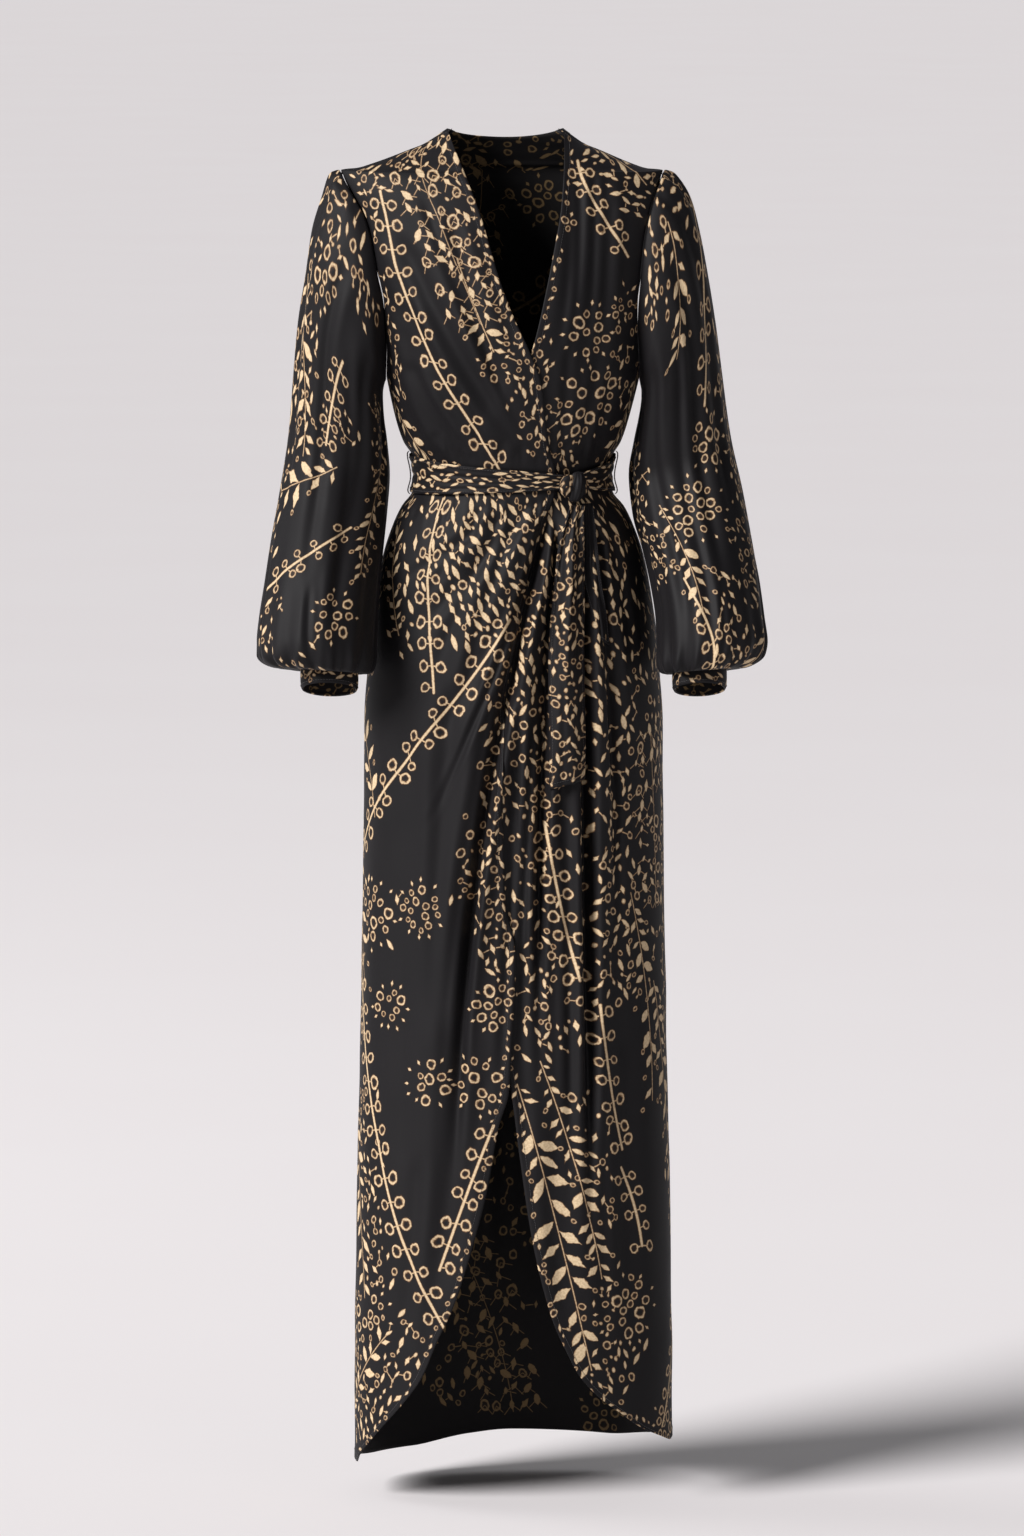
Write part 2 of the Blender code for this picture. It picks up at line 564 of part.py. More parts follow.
def wall_solid(outer_rows, inner_rows, closed, mirrored=False):
    """Points and triangles of a wall between two faces given as rows of points."""
    counts = [len(row) for row in outer_rows]
    starts = np.concatenate([[0], np.cumsum(counts)])
    total = int(starts[-1])
    rows = [list(range(starts[i], starts[i + 1])) for i in range(len(counts))]
    behind = [[total + j for j in row] for row in rows]
    triangles = []
    for i in range(len(rows) - 1):
        triangles += row_triangles(rows[i], rows[i + 1], closed, mirrored)
        back = row_triangles(behind[i], behind[i + 1], closed, mirrored)
        triangles += [t[::-1] for t in back]
    rims = [(rows[0], behind[0], -1), (rows[-1], behind[-1], 1)]
    if not closed:
        rims.append(([r[0] for r in rows], [r[0] for r in behind], 1))
        rims.append(([r[-1] for r in rows], [r[-1] for r in behind], -1))
    for k, (face, back, way) in enumerate(rims):
        triangles += [t[::way] for t in row_triangles(face, back, closed and k < 2)]
    return np.concatenate([*outer_rows, *inner_rows]), triangles


def finish_material(finish):
    material = bpy.data.materials.get(finish.name)
    if material is None:
        material = bpy.data.materials.new(finish.name)
        material.use_nodes = True
        shader = material.node_tree.nodes["Principled BSDF"]
        shader.inputs["Base Color"].default_value = (*finish.colour, 1)
        shader.inputs["Roughness"].default_value = finish.roughness
        shader.inputs["Metallic"].default_value = 0
    return material


def add_piece(name, points, triangles, finish=PRINTED_CLOTH):
    """Makes a named object of one closed body with its faces pointing out."""
    mesh = bpy.data.meshes.new(name)
    mesh.from_pydata([tuple(p) for p in points], [], triangles)
    shape = bmesh.new()
    shape.from_mesh(mesh)
    bmesh.ops.recalc_face_normals(shape, faces=shape.faces)
    if shape.calc_volume(signed=True) < 0:
        bmesh.ops.reverse_faces(shape, faces=shape.faces)
    shape.to_mesh(mesh)
    shape.free()
    mesh.shade_smooth()
    material = finish_material(finish).copy()
    material.name = f"{name} {finish.name}"
    mesh.materials.append(material)
    piece = bpy.data.objects.new(name, mesh)
    bpy.context.scene.collection.objects.link(piece)
    return piece


def add_panel(name, z, turn, lift):
    """A panel on the body: lift gives its layer and folds from (x, z)."""
    base = on_body(z, turn)
    normal = body_normal(z, turn)
    outer = base + normal * lift(base[..., 0], z)[..., None]
    inner = outer - normal * WALL
    mirrored = turn[0, 0] > turn[0, -1]
    add_piece(name, *wall_solid(list(outer), list(inner), False, mirrored))


def seam_inset(z, turn_gap):
    """Half the seam gap, as a turn, at the sides of a panel."""
    half_width = body_sizes(z)[0]
    return turn_gap / np.maximum(half_width, 0.03)


def panel_grid(levels, start, end, columns):
    """Heights and turns of a panel between its two sides."""
    share = np.linspace(0, 1, columns + 1)
    turn = start[:, None] + (end - start)[:, None] * share[None, :]
    return np.broadcast_to(levels[:, None], turn.shape).copy(), turn


def front_grid(levels, side, split, edge, columns, strip_columns):
    """A front's grid: main columns from its side to the other front's edge, and
    strip columns on to its own edge. Both fronts share the strip's turns, so
    that their folds nest."""
    way = np.sign(side[0] - edge[0])
    room = np.minimum(LEAST_STRIP, 0.4 * np.abs(side - edge))
    split = edge + way * np.maximum(way * (split - edge), room)
    main = panel_grid(levels, side, split, columns)
    strip = panel_grid(levels, split, edge, strip_columns)
    return [np.concatenate([m, s[:, 1:]], axis=1) for m, s in zip(main, strip)]


def bodice_levels():
    """Rows from the neck to the waist, evenly spread round the armhole."""
    angles = np.linspace(0, math.pi, ARMHOLE_STEPS + 1)[1:]
    return np.array(BODICE_TOP_LEVELS + list(armhole_level(angles)) + BODICE_LOW_LEVELS)


def build_bodice():
    levels = bodice_levels()
    gap = seam_inset(levels, SEAM_GAP)
    front_side = side_turn(levels, True) - gap
    right_edge = front_turn(levels, edge_x(OVER_NECK_EDGE, levels))
    left_edge = front_turn(levels, edge_x(UNDER_NECK_EDGE, levels))
    right_end = np.maximum(right_edge, -front_side + LEAST_FRONT)
    left_end = np.minimum(left_edge, front_side - LEAST_FRONT)

    def over(x, z):
        lift = over_lift(UNDER_NECK_EDGE, x, z)
        return relief_on(BODICE_FRONT, x, z) + np.where(z < WRAP_TOP_Z, lift, 0)

    def under(x, z):
        tuck = under_tuck(OVER_NECK_EDGE, x, z)
        return relief_on(BODICE_FRONT, x, z) + np.where(z < WRAP_TOP_Z, tuck, 0)

    counts = BODICE_COLUMNS - BODICE_STRIP_COLUMNS, BODICE_STRIP_COLUMNS
    grid = front_grid(levels, -front_side, left_end, right_end, *counts)
    add_panel("bodice_front_right", *grid, over)
    grid = front_grid(levels, front_side, right_end, left_end, *counts)
    add_panel("bodice_front_left", *grid, under)

    back_side = side_turn(levels, False) + gap
    z, turn = panel_grid(levels, back_side, 2 * math.pi - back_side, BACK_COLUMNS)
    dip = BACK_NECK_DROP * np.clip(-np.cos(turn), 0, 1) ** 2
    z = z - dip * ease(BACK_NECK_FROM_Z, NECK_Z, z)
    add_panel("bodice_back", z, turn, lambda x, level: relief_on(BODICE_BACK, x, level))


def hem_share(z):
    """1 at the hem, fading to 0 where the skirt's rows are level."""
    return ease(HEM_LEVEL_Z, HEM_Z, z)


def build_skirt():
    levels = np.array(SKIRT_LEVELS)
    left_levels = levels + HEM_RISE * hem_share(levels)
    right_gap = seam_inset(levels, SEAM_GAP)
    left_gap = seam_inset(left_levels, SEAM_GAP)

    def over(x, z):
        return relief_on(SKIRT_FRONT, x, z) + over_lift(UNDER_SKIRT_EDGE, x, z)

    def under(x, z):
        return relief_on(SKIRT_FRONT, x, z) + under_tuck(OVER_SKIRT_EDGE, x, z)

    right_edge = front_turn(levels, edge_x(OVER_SKIRT_EDGE, levels))
    left_edge = front_turn(left_levels, edge_x(UNDER_SKIRT_EDGE, left_levels))
    counts = SKIRT_COLUMNS - SKIRT_STRIP_COLUMNS, SKIRT_STRIP_COLUMNS
    grid = front_grid(levels, -SIDE + right_gap, left_edge, right_edge, *counts)
    add_panel("skirt_front_right", *grid, over)
    grid = front_grid(left_levels, SIDE - left_gap, right_edge, left_edge, *counts)
    add_panel("skirt_front_left", *grid, under)

    z, turn = panel_grid(levels, SIDE + left_gap, 3 * SIDE - right_gap, SKIRT_COLUMNS)
    hem = smooth_curve(column(BACK_HEM, "degrees"), column(BACK_HEM, "z"), np.degrees(turn))
    z = z + (hem - HEM_Z) * hem_share(z)
    add_panel("skirt_back", z, turn, lambda x, level: relief_on(SKIRT_BACK, x, level))


def armhole_points(angle, side):
    """The armhole's line on the body: 0 at the shoulder tip, positive forward."""
    z = armhole_level(np.abs(angle))
    turn = np.where(angle >= 0, armhole_turn(z, True), armhole_turn(z, False))
    return on_body(z, side * turn)


def sleeve_ring_points(ring, angle, side):
    """A ring of a sleeve: 0 at its outer side, positive round its front."""
    if side == RIGHT:
        outer_x, inner_x = ring.right_outer, ring.right_inner
    else:
        outer_x, inner_x = ring.left_outer, ring.left_inner
    outer = np.array([side * outer_x, ring.middle_y, ring.outer_z])
    inner = np.array([side * inner_x, ring.middle_y, ring.inner_z])
    tilt = math.radians(ring.tilt)
    ahead = ring.half_depth * np.array([0, -math.cos(tilt), math.sin(tilt)])
    across = np.cos(angle)[:, None]
    depth = np.sin(angle)[:, None]
    return (outer + inner) / 2 + (outer - inner) / 2 * across + ahead * depth


def head_angles(count):
    """Angles round an armhole, closest together over the shoulder tip."""
    crowded = 4 * HEAD_GATHERS
    head = np.linspace(-HEAD_SPREAD, HEAD_SPREAD, crowded + 1)
    rest = np.linspace(HEAD_SPREAD, 2 * math.pi - HEAD_SPREAD, count - crowded + 1)[1:-1]
    return np.concatenate([head, rest])


def wrap_angle(angle):
    return (angle + math.pi) % (2 * math.pi) - math.pi


def grid_normals(rows):
    """Outward directions of closed rings by their neighbours on the same ring
    and on the rings before and after."""
    normals = []
    for i, row in enumerate(rows):
        before = rows[max(i - 1, 0)]
        after = rows[min(i + 1, len(rows) - 1)]
        if len(before) < len(row):
            before = np.repeat(before, 2, axis=0)
        if len(after) > len(row):
            after = after[::2]
        round_it = np.roll(row, -1, axis=0) - np.roll(row, 1, axis=0)
        normal = np.cross(after - before, round_it)
        normal /= np.linalg.norm(normal, axis=-1, keepdims=True)
        outward = np.sign(np.sum(normal * (row - row.mean(axis=0))))
        normals.append(normal * outward)
    return normals


def build_sleeve(name, side):
    """Rings from the armhole to the cuff. Gathers push them in and out."""
    rows = []
    start_angles = head_angles(SLEEVE_COLUMNS)
    even_angles = np.linspace(0, 2 * math.pi, SLEEVE_COLUMNS + 1)[:-1] - HEAD_SPREAD
    for i, ring in enumerate(SLEEVE):
        if i < FINE_FROM_RING:
            share = ease(0, FINE_FROM_RING - 1, i)
            angle = start_angles * (1 - share) + even_angles * share
        else:
            angle = np.linspace(0, 2 * math.pi, 2 * SLEEVE_COLUMNS + 1)[:-1] - HEAD_SPREAD
        row = sleeve_ring_points(ring, angle, side)
        seat = armhole_points(wrap_angle(angle), side)
        seat[:, 0] += side * ARMHOLE_GAP
        drift = seat - sleeve_ring_points(SLEEVE[0], angle, side)
        row += drift * (1 - ease(0, SEAT_RINGS, i))
        middle = row.mean(axis=0)
        ray = row - middle
        ray /= np.linalg.norm(ray, axis=-1, keepdims=True)
        near_head = np.clip(1 - np.abs(wrap_angle(angle)) / HEAD_SPREAD, 0, 1) ** 0.5
        head_wave = np.cos(wrap_angle(angle) / HEAD_SPREAD * math.pi * HEAD_GATHERS)
        head_share = ease(0, 1, i) * (1 - ease(1, HEAD_GATHER_RINGS, i))
        head = HEAD_GATHER_DEPTH * near_head * head_wave * head_share
        wave = np.cos(angle * CUFF_GATHERS + CUFF_GATHER_DRIFT * np.sin(2 * angle + side))
        uneven = 1 + CUFF_GATHER_SWAY * np.sin(3 * angle + SWAY_SIDE * side)
        row += ray * (head + ring.gather * wave * uneven)[:, None]
        rows.append(row)
    normals = grid_normals(rows)
    inner = [row - WALL * normal for row, normal in zip(rows, normals)]
    add_piece(name, *wall_solid(rows, inner, True))


def build_cuff(name, side):
    """A short tube along the forearm, its top ring against the sleeve's end."""
    angle = np.linspace(0, 2 * math.pi, CUFF_COLUMNS + 1)[:-1]
    top = sleeve_ring_points(SLEEVE[-1], angle, side)
    down = np.array([0, -math.sin(CUFF_TILT), -math.cos(CUFF_TILT)])
    middle = top.mean(axis=0)
    ray = top - middle
    ray /= np.linalg.norm(ray, axis=-1, keepdims=True)
    rows, inner = [], []
    for share in (0, 0.5, 1):
        swell = CUFF_SWELL * math.sin(math.pi * share)
        row = top + down * (2 * SEAM_GAP + CUFF_LENGTH * share) + ray * swell
        rows.append(row)
        inner.append(row - ray * CUFF_WALL)
    add_piece(name, *wall_solid(rows, inner, True))


def from_knot(turn, knot_turn):
    """0 at the knot and 1 at the far side, where the belt has its full height."""
    away = wrap_angle(turn - knot_turn)
    reach = np.where(away > 0, BELT_FAN_LEFT, BELT_FAN_RIGHT)
    return np.clip(np.abs(away) / reach, 0, 1) ** BELT_FAN_POWER


def wrap_clearance(turn):
    """How far out the belt runs: more where two fronts lie under it."""
    turn = wrap_angle(turn)
    from_right = ease(WRAP_FROM, WRAP_FULL, turn)
    to_left = 1 - ease(WRAP_LEAVES, WRAP_TO, turn)
    return BELT_CLEAR + (BELT_CLEAR_WRAP - BELT_CLEAR) * from_right * to_left


def belt_outside(z, turn, out):
    """Points level with the waist's widest line, this far out."""
    waist = on_body(np.full_like(z, WAIST_Z), turn)
    normal = level_normal(np.full_like(z, WAIST_Z), turn)
    points = waist + normal * out[..., None]
    spread = on_body(z, turn) - waist
    spread[..., 2] = 0
    points += np.maximum(np.sum(spread * normal, axis=-1), 0)[..., None] * normal
    points[..., 2] = z
    return points, normal


def build_belt(knot_turn):
    """A band round the waist, drawn in at the knot, with long soft creases."""
    turn = knot_turn + np.linspace(0, 2 * math.pi, BELT_COLUMNS + 1)[:-1]
    share = from_knot(turn, knot_turn)
    half = (BELT_KNOT_HEIGHT + (BELT_HEIGHT - BELT_KNOT_HEIGHT) * share) / 2
    middle = WAIST_Z + BELT_RISE * share
    rows, inner = [], []
    for row in BELT_ROWS:
        z = middle + half * row.up
        waves = np.sin(BELT_CREASE_WAVES * turn + BELT_CREASE_SHIFT * row.up)
        crease = row.crease * share * (1 + BELT_CREASE_SWAY * waves)
        out = wrap_clearance(turn) + BELT_WALL + crease
        points, normal = belt_outside(z, turn, out)
        rows.append(points)
        inner.append(points - normal * BELT_WALL)
    add_piece("belt", *wall_solid(rows, inner, True))


def knot_frame(knot_turn):
    """The knot's place, with its directions along the belt, out and up."""
    z = np.array([KNOT_Z])
    turn = np.array([knot_turn])
    place, out = belt_outside(z, turn, np.array([KNOT_SEAT]))
    up = np.array([0.0, 0.0, 1.0])
    return place[0], np.cross(up, out[0]), out[0], up


def build_knot(knot_turn):
    place, along, out, up = knot_frame(knot_turn)
    angle = np.linspace(0, 2 * math.pi, KNOT_COLUMNS + 1)[:-1]
    rows = []
    for ring in KNOT:
        middle = place + along * ring.along + out * ring.out
        rise = np.sin(angle)[:, None] * up * ring.half_height
        swell = np.cos(angle)[:, None] * out * ring.half_depth
        rows.append(middle + rise + swell)
    points = np.concatenate([*rows, [rows[0].mean(axis=0)], [rows[-1].mean(axis=0)]])
    count = KNOT_COLUMNS
    index = [list(range(i * count, (i + 1) * count)) for i in range(len(rows))]
    triangles = []
    for i in range(len(rows) - 1):
        triangles += row_triangles(index[i], index[i + 1], True)
    for j in range(count):
        triangles.append((index[0][j], index[0][(j + 1) % count], len(points) - 2))
        triangles.append((index[-1][(j + 1) % count], index[-1][j], len(points) - 1))
    add_piece("belt_knot", points, triangles)


def build_tail(name, table, slant):
    """A free end of the belt, hanging on the front from the knot down."""
    rows, inner = [], []
    last = len(table) - 1
    share = np.linspace(-1, 1, TAIL_COLUMNS + 1)
    for i, row in enumerate(table):
        z = row.z + slant * share / 2 * ease(last - TAIL_SLANT_ROWS, last, i)
        x = row.x + row.half_width * share
        turn = front_turn(z, x)
        base = on_body(z, turn)
        normal = level_normal(z, turn)
        crease = row.crease * np.cos(share * 2 * math.pi)
        folds = relief_on(SKIRT_FRONT, x, z) * ease(TAIL_FREE_Z, TAIL_FOLDS_Z, row.z)
        lift = folds + row.out + crease
        points = base + normal * (lift + BELT_WALL)[:, None]
        rows.append(points)
        inner.append(points - normal * BELT_WALL)
    add_piece(name, *wall_solid(rows, inner, False))


def build_loop(name, side):
    """A thread carrier: a narrow strip over the belt at a side seam."""
    rows, inner = [], []
    over_belt = BELT_CLEAR + BELT_WALL + LOOP_CLEAR
    for t in np.sin(np.linspace(-SIDE, SIDE, LOOP_ROWS + 1)):
        z = np.full(2, WAIST_Z + BELT_RISE + LOOP_HALF_HEIGHT * t)
        turn = side * SIDE + LOOP_HALF_TURN * np.array([-1, 1])
        arch = (1 - abs(t) ** LOOP_SQUARENESS) * over_belt + LOOP_SEAT + LOOP_WALL
        points, normal = belt_outside(z, turn, np.full(2, arch))
        rows.append(points)
        inner.append(points - normal * LOOP_WALL)
    add_piece(name, *wall_solid(rows, inner, False), THREAD)


def main():
    for old in list(bpy.data.objects):
        bpy.data.objects.remove(old, do_unlink=True)
    build_bodice()
    build_skirt()
    for name, side in (("right", RIGHT), ("left", LEFT)):
        build_sleeve(f"sleeve_{name}", side)
        build_cuff(f"cuff_{name}", side)
        build_loop(f"belt_loop_{name}", side)
    knot_turn = float(front_turn(np.array([KNOT_Z]), np.array([KNOT_X]))[0])
    build_belt(knot_turn)
    build_knot(knot_turn)
    build_tail("belt_tail_long", LONG_TAIL, TAIL_SLANT)
    build_tail("belt_tail_short", SHORT_TAIL, -TAIL_SLANT)


main()
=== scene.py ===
"""Looks of a long printed wrap dress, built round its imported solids.

The cloth panels are thin shells on the solids' own forms, with finer creases.
Their print is laid out flat, on each panel's cut, and follows the cloth.
Metres, +Z up; the front faces -Y and the wearer's left is +X.
"""

import logging
import math
from collections.abc import Sequence
from dataclasses import dataclass, field
from enum import Enum
from typing import NamedTuple

import bpy
import numpy as np
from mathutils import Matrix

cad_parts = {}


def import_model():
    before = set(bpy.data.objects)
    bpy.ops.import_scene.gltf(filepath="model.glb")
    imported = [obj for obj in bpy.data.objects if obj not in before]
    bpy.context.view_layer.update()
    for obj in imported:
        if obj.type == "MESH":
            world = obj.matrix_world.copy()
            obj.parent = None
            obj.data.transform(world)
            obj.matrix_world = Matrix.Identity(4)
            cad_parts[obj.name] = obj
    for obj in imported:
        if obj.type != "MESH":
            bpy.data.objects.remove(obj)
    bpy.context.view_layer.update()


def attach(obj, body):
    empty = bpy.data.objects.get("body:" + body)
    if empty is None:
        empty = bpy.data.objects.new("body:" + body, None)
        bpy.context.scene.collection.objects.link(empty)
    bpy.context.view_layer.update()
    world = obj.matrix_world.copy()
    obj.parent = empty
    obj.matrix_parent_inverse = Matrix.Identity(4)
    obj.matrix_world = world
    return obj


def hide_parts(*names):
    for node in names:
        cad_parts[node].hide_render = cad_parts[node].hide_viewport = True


LOG = logging.getLogger("wrap_dress")
Grid = np.ndarray
Piece = bpy.types.Object
Tree = bpy.types.NodeTree
Cloth = Sequence[bpy.types.Material]  # the finishes of a piece's face and back
QUARTER = math.pi / 2
MM = 0.001

# Heights that the solids share, from the shoulder tips
NECK_Z = 0.045
UNDERARM_Z = -0.225
WAIST_Z = -0.333
WRAP_TOP_Z = -0.150
HEM_Z = -1.4146
HEM_RISE = 0.0246
HEM_LEVEL_Z = -1.20
BACK_NECK_DROP = 0.012
BACK_NECK_FROM_Z = -0.03
SHOULDER_SEAM_FORWARD = 0.010
ARMHOLE_FRONT = 0.060
ARMHOLE_BACK = 0.056

# Layers of cloth
CREPE = 0.0007  # the shell's thickness
THREAD_RISE = 0.0002  # a row of stitches, over the face
DOUBLED = 0.0016  # belt and cuffs, the cloth folded double
LAYER_LIFT = 0.0030
HIDDEN_TUCK = 0.0014
SEAM_GAP = 0.0003

# Belt
BELT_HEIGHT = 0.040
BELT_RISE = 0.004
BELT_KNOT_HEIGHT = 0.013
BELT_CLEAR = 0.0012
BELT_CLEAR_WRAP = 0.0044
BELT_WALL = 0.0024
BELT_FLAT = 0.024
BELT_FAN_LEFT = 1.0
BELT_FAN_RIGHT = 1.75
BELT_FAN_POWER = 0.8
WRAP_FROM, WRAP_FULL = -1.05, -0.45
WRAP_LEAVES, WRAP_TO = 0.75, 1.15
KNOT_X = 0.0642
KNOT_Z = -0.3375
KNOT_SEAT = 0.0056

# Sleeves
HEAD_GATHERS = 4
HEAD_GATHER_DEPTH = 0.0022
HEAD_SPREAD = math.radians(50)
CUFF_GATHERS = 14
CUFF_LENGTH = 0.0265
CUFF_TILT = math.radians(21)
CUFF_SWELL = 0.0012


class Side(Enum):
    """The wearer's sides, as signs of X."""

    RIGHT = -1
    LEFT = 1


def in_metres(kind: type, rows: Sequence[tuple[float, ...]], plain: Sequence[str] = ()) -> list:
    """A table's rows as records in metres.

    Args:
        kind: The record that names the columns.
        rows: The rows, in millimetres but for the plain columns.
        plain: The columns that are no lengths.

    Returns:
        One record for each row.
    """
    units = [1 if name in plain else 1000 for name in kind._fields]
    return [kind(*(value / unit for value, unit in zip(row, units))) for row in rows]


class BodyRing(NamedTuple):
    """A level section of the dress: a rounded oval, deeper or flatter."""

    z: float
    half_width: float
    front: float
    back: float
    middle: float
    squareness: float


BODY = in_metres(BodyRing, [
    (-1415, 175, 124, 138, 4.7, 2.3),
    (-1270, 174, 122, 135, 4.7, 2.3),
    (-1100, 171.5, 119, 132, 4.8, 2.3),
    (-980, 168.6, 117, 130, 4.8, 2.3),
    (-840, 165.8, 115, 128, 5, 2.3),
    (-710, 163.8, 114, 127, 5, 2.3),
    (-600, 162.8, 113, 130, 5, 2.32),
    (-530, 158, 111, 129, 5, 2.34),
    (-450, 148.5, 105, 119, 4.6, 2.32),
    (-415, 141, 101, 110, 4.5, 2.28),
    (-390, 132.5, 97, 103, 4.2, 2.25),
    (-365, 120.5, 92, 95, 4, 2.2),
    (-352, 110, 89, 89, 3.8, 2.2),
    (-333, 104.3, 87, 86, 3.8, 2.2),
    (-312, 108, 91, 88, 3.8, 2.2),
    (-295, 118, 96, 90, 3.6, 2.22),
    (-270, 126.5, 103, 95, 3.5, 2.25),
    (-225, 137.5, 112, 102, 4, 2.3),
    (-180, 145.5, 115, 107, 3.2, 2.3),
    (-140, 154, 111, 109, 2, 2.3),
    (-100, 165.5, 103, 107, 0, 2.3),
    (-50, 173.5, 90, 101, -2, 2.3),
    (-20, 177, 80, 94, -6, 2.25),
    (0, 174.5, 68, 86, -7.7, 2.2),
    (1.2, 162, 66, 84, -7.5, 2.2),
    (6.7, 142.5, 63, 81, -7.2, 2.15),
    (14.6, 121, 57, 75, -6.5, 2.12),
    (21.6, 104, 52, 70, -6, 2.1),
    (27.8, 88.5, 47, 65, -5.5, 2.05),
    (35.8, 76, 40, 58, -5, 2),
    (45, 62.7, 30, 50, -4.4, 2),
], ("squareness",))


class EdgePoint(NamedTuple):
    """A place on a free front edge."""

    z: float
    x: float


OVER_NECK_EDGE = in_metres(EdgePoint, [
    (-333, 52), (-291, 42.9), (-260, 38.8), (-223.5, 34.5), (-192, 23.1), (-151, 4.4), (-113, -9.9),
    (-43.5, -31), (45, -67.1),
])
UNDER_NECK_EDGE = in_metres(EdgePoint, [
    (-333, -35), (-300, -22), (-225, 11), (-190, 24.2), (-166, 30.8), (-131.6, 38.5), (-81.5, 48.4),
    (-36, 56.1), (8, 59.4), (35, 60), (45, 58.3),
])
OVER_SKIRT_EDGE = in_metres(EdgePoint, [
    (-1414.6, -166.2), (-1404, -163), (-1378, -146.3), (-1340, -116.6), (-1310, -95.7),
    (-1268, -78.1), (-1230, -60.5), (-1168, -40.7), (-1099, -23.1), (-1031, -11), (-993, 0),
    (-960, 2.2), (-848, 6.6), (-774, -4.4), (-655, -6.6), (-568, -4.4), (-525, 3.3), (-459, 17.6),
    (-400, 34.1), (-333, 52),
])
UNDER_SKIRT_EDGE = in_metres(EdgePoint, [
    (-1390, 175.7), (-1382, 166), (-1368, 144.1), (-1349, 121), (-1330, 97.9), (-1306, 77),
    (-1279, 62.7), (-1244, 47.3), (-1157, 25.3), (-1069, 12.1), (-1000, 3.3), (-960, -4),
    (-900, -12), (-800, -21), (-650, -33), (-500, -42), (-333, -40),
])


class HemPoint(NamedTuple):
    """A place on the back hem, by its turn round the dress."""

    degrees: float
    z: float


BACK_HEM = in_metres(HemPoint, [
    (90, -1390), (126, -1404), (147, -1410.5), (180, -1409.5), (193, -1413.5), (217, -1424),
    (238, -1424.5), (270, -1414.6),
], ("degrees",))


class Fold(NamedTuple):
    """A soft trough between two rolls, on a line that bends through three places."""

    z_top: float
    x_top: float
    x_middle: float
    z_low: float
    x_low: float
    depth: float
    width: float


SKIRT_FRONT_FOLDS = in_metres(Fold, [
    (-345, 50, -30.8, -1020, -60, 10.5, 9.5), (-345, 57, 35.5, -900, 34, 8.5, 8.5),
    (-345, 78, 86.5, -1130, 89, 9, 9), (-348, 46, -15, -640, -95, 4, 10),
    (-348, 34, -45, -520, -125, 3, 9), (-350, 94, 112, -760, 122, 4.5, 9),
    (-560, -112, -120, -1180, -118, 4, 13), (-900, 125, 130, -1360, 133, 4, 13),
    (-900, -60, -64, -1290, -98, 4.5, 12), (-1000, 52, 58, -1290, 76, 3.5, 11),
])
SKIRT_BACK_FOLDS = in_metres(Fold, [
    (-480, -118, -124, -1390, -130, 6, 13), (-430, -72, -74, -1360, -82, 7.5, 13),
    (-520, -20, -26, -1400, -24, 6.5, 14), (-440, 34, 37, -1380, 44, 8, 13),
    (-500, 86, 90, -1340, 96, 6, 13), (-640, 128, 132, -1380, 136, 4, 11),
])
BODICE_FRONT_FOLDS = in_metres(Fold, [
    (-60, -120, -56, -322, 34, 4.5, 10), (-130, -118, -76, -325, 2, 4, 9),
    (-40, -66, -27, -300, 27, 3, 8), (-200, -110, -83, -325, -42, 3.5, 8),
    (15, 68, 68, -200, 52, 3.5, 7), (12, 83, 83, -260, 70, 4, 7.5), (8, 101, 98, -300, 85, 3.5, 8),
    (-210, 112, 104, -325, 90, 3, 7),
])
BODICE_BACK_FOLDS = in_metres(Fold, [
    (-120, -98, -86, -325, -64, 3.5, 11), (-150, 102, 88, -325, 66, 3.5, 11),
])

# Finer creases, which the solids leave to these shells
SKIRT_FRONT_CREASES = in_metres(Fold, [
    (-347, 50, -30.8, -1120, -60, 13, 5.6), (-347, 57, 35.5, -1020, 34, 11, 4.8),
    (-347, 78, 86.5, -1230, 89, 12, 5.2), (-350, 46, -15, -720, -95, 4.5, 3.6),
    (-350, 94, 112, -860, 122, 4.5, 3.8), (-348, 40, -70, -470, -140, 2.2, 6),
    (-350, 20, -28, -600, -56, 2.4, 5.5), (-352, 0, -48, -560, -90, 2, 6),
    (-352, -20, -70, -500, -110, 1.8, 5.5), (-350, 64, 56, -820, 60, 5, 4.2),
    (-350, 70, 72, -760, 74, 4.2, 3.6), (-350, 86, 100, -560, 103, 2.4, 4.8),
    (-350, 102, 126, -600, 136, 2.2, 5.5), (-420, 46, 18, -1060, 8, 4.4, 5),
    (-520, 10, 2, -1040, -14, 3.8, 5), (-600, 62, 66, -1160, 66, 4.2, 5.2),
    (-480, 110, 116, -980, 110, 2.4, 7), (-540, -60, -78, -940, -86, 1.8, 8.5),
    (-620, -100, -100, -1020, -96, 1.4, 9), (-700, -136, -142, -1250, -142, 2, 8),
    (-820, 20, 16, -1130, 18, 2, 7), (-960, -24, -46, -1240, -72, 2, 8),
    (-1020, 100, 104, -1340, 112, 2, 8), (-1080, 40, 50, -1270, 66, 1.6, 7),
    (-1060, -100, -108, -1340, -128, 2, 8.5),
])
SKIRT_BACK_CREASES = in_metres(Fold, [
    (-352, -60, -90, -660, -106, 2.2, 7), (-352, -34, -46, -780, -52, 2.6, 7),
    (-352, 6, 8, -700, 4, 2.4, 6.5), (-352, 44, 60, -820, 64, 2.6, 7),
    (-352, 72, 104, -620, 116, 2.2, 7), (-700, -100, -106, -1240, -108, 2, 8),
    (-760, -48, -56, -1300, -54, 2.2, 8.5), (-800, 10, 6, -1280, 10, 2, 8),
    (-720, 64, 68, -1320, 70, 2.2, 8), (-860, 112, 114, -1340, 118, 1.8, 8),
])
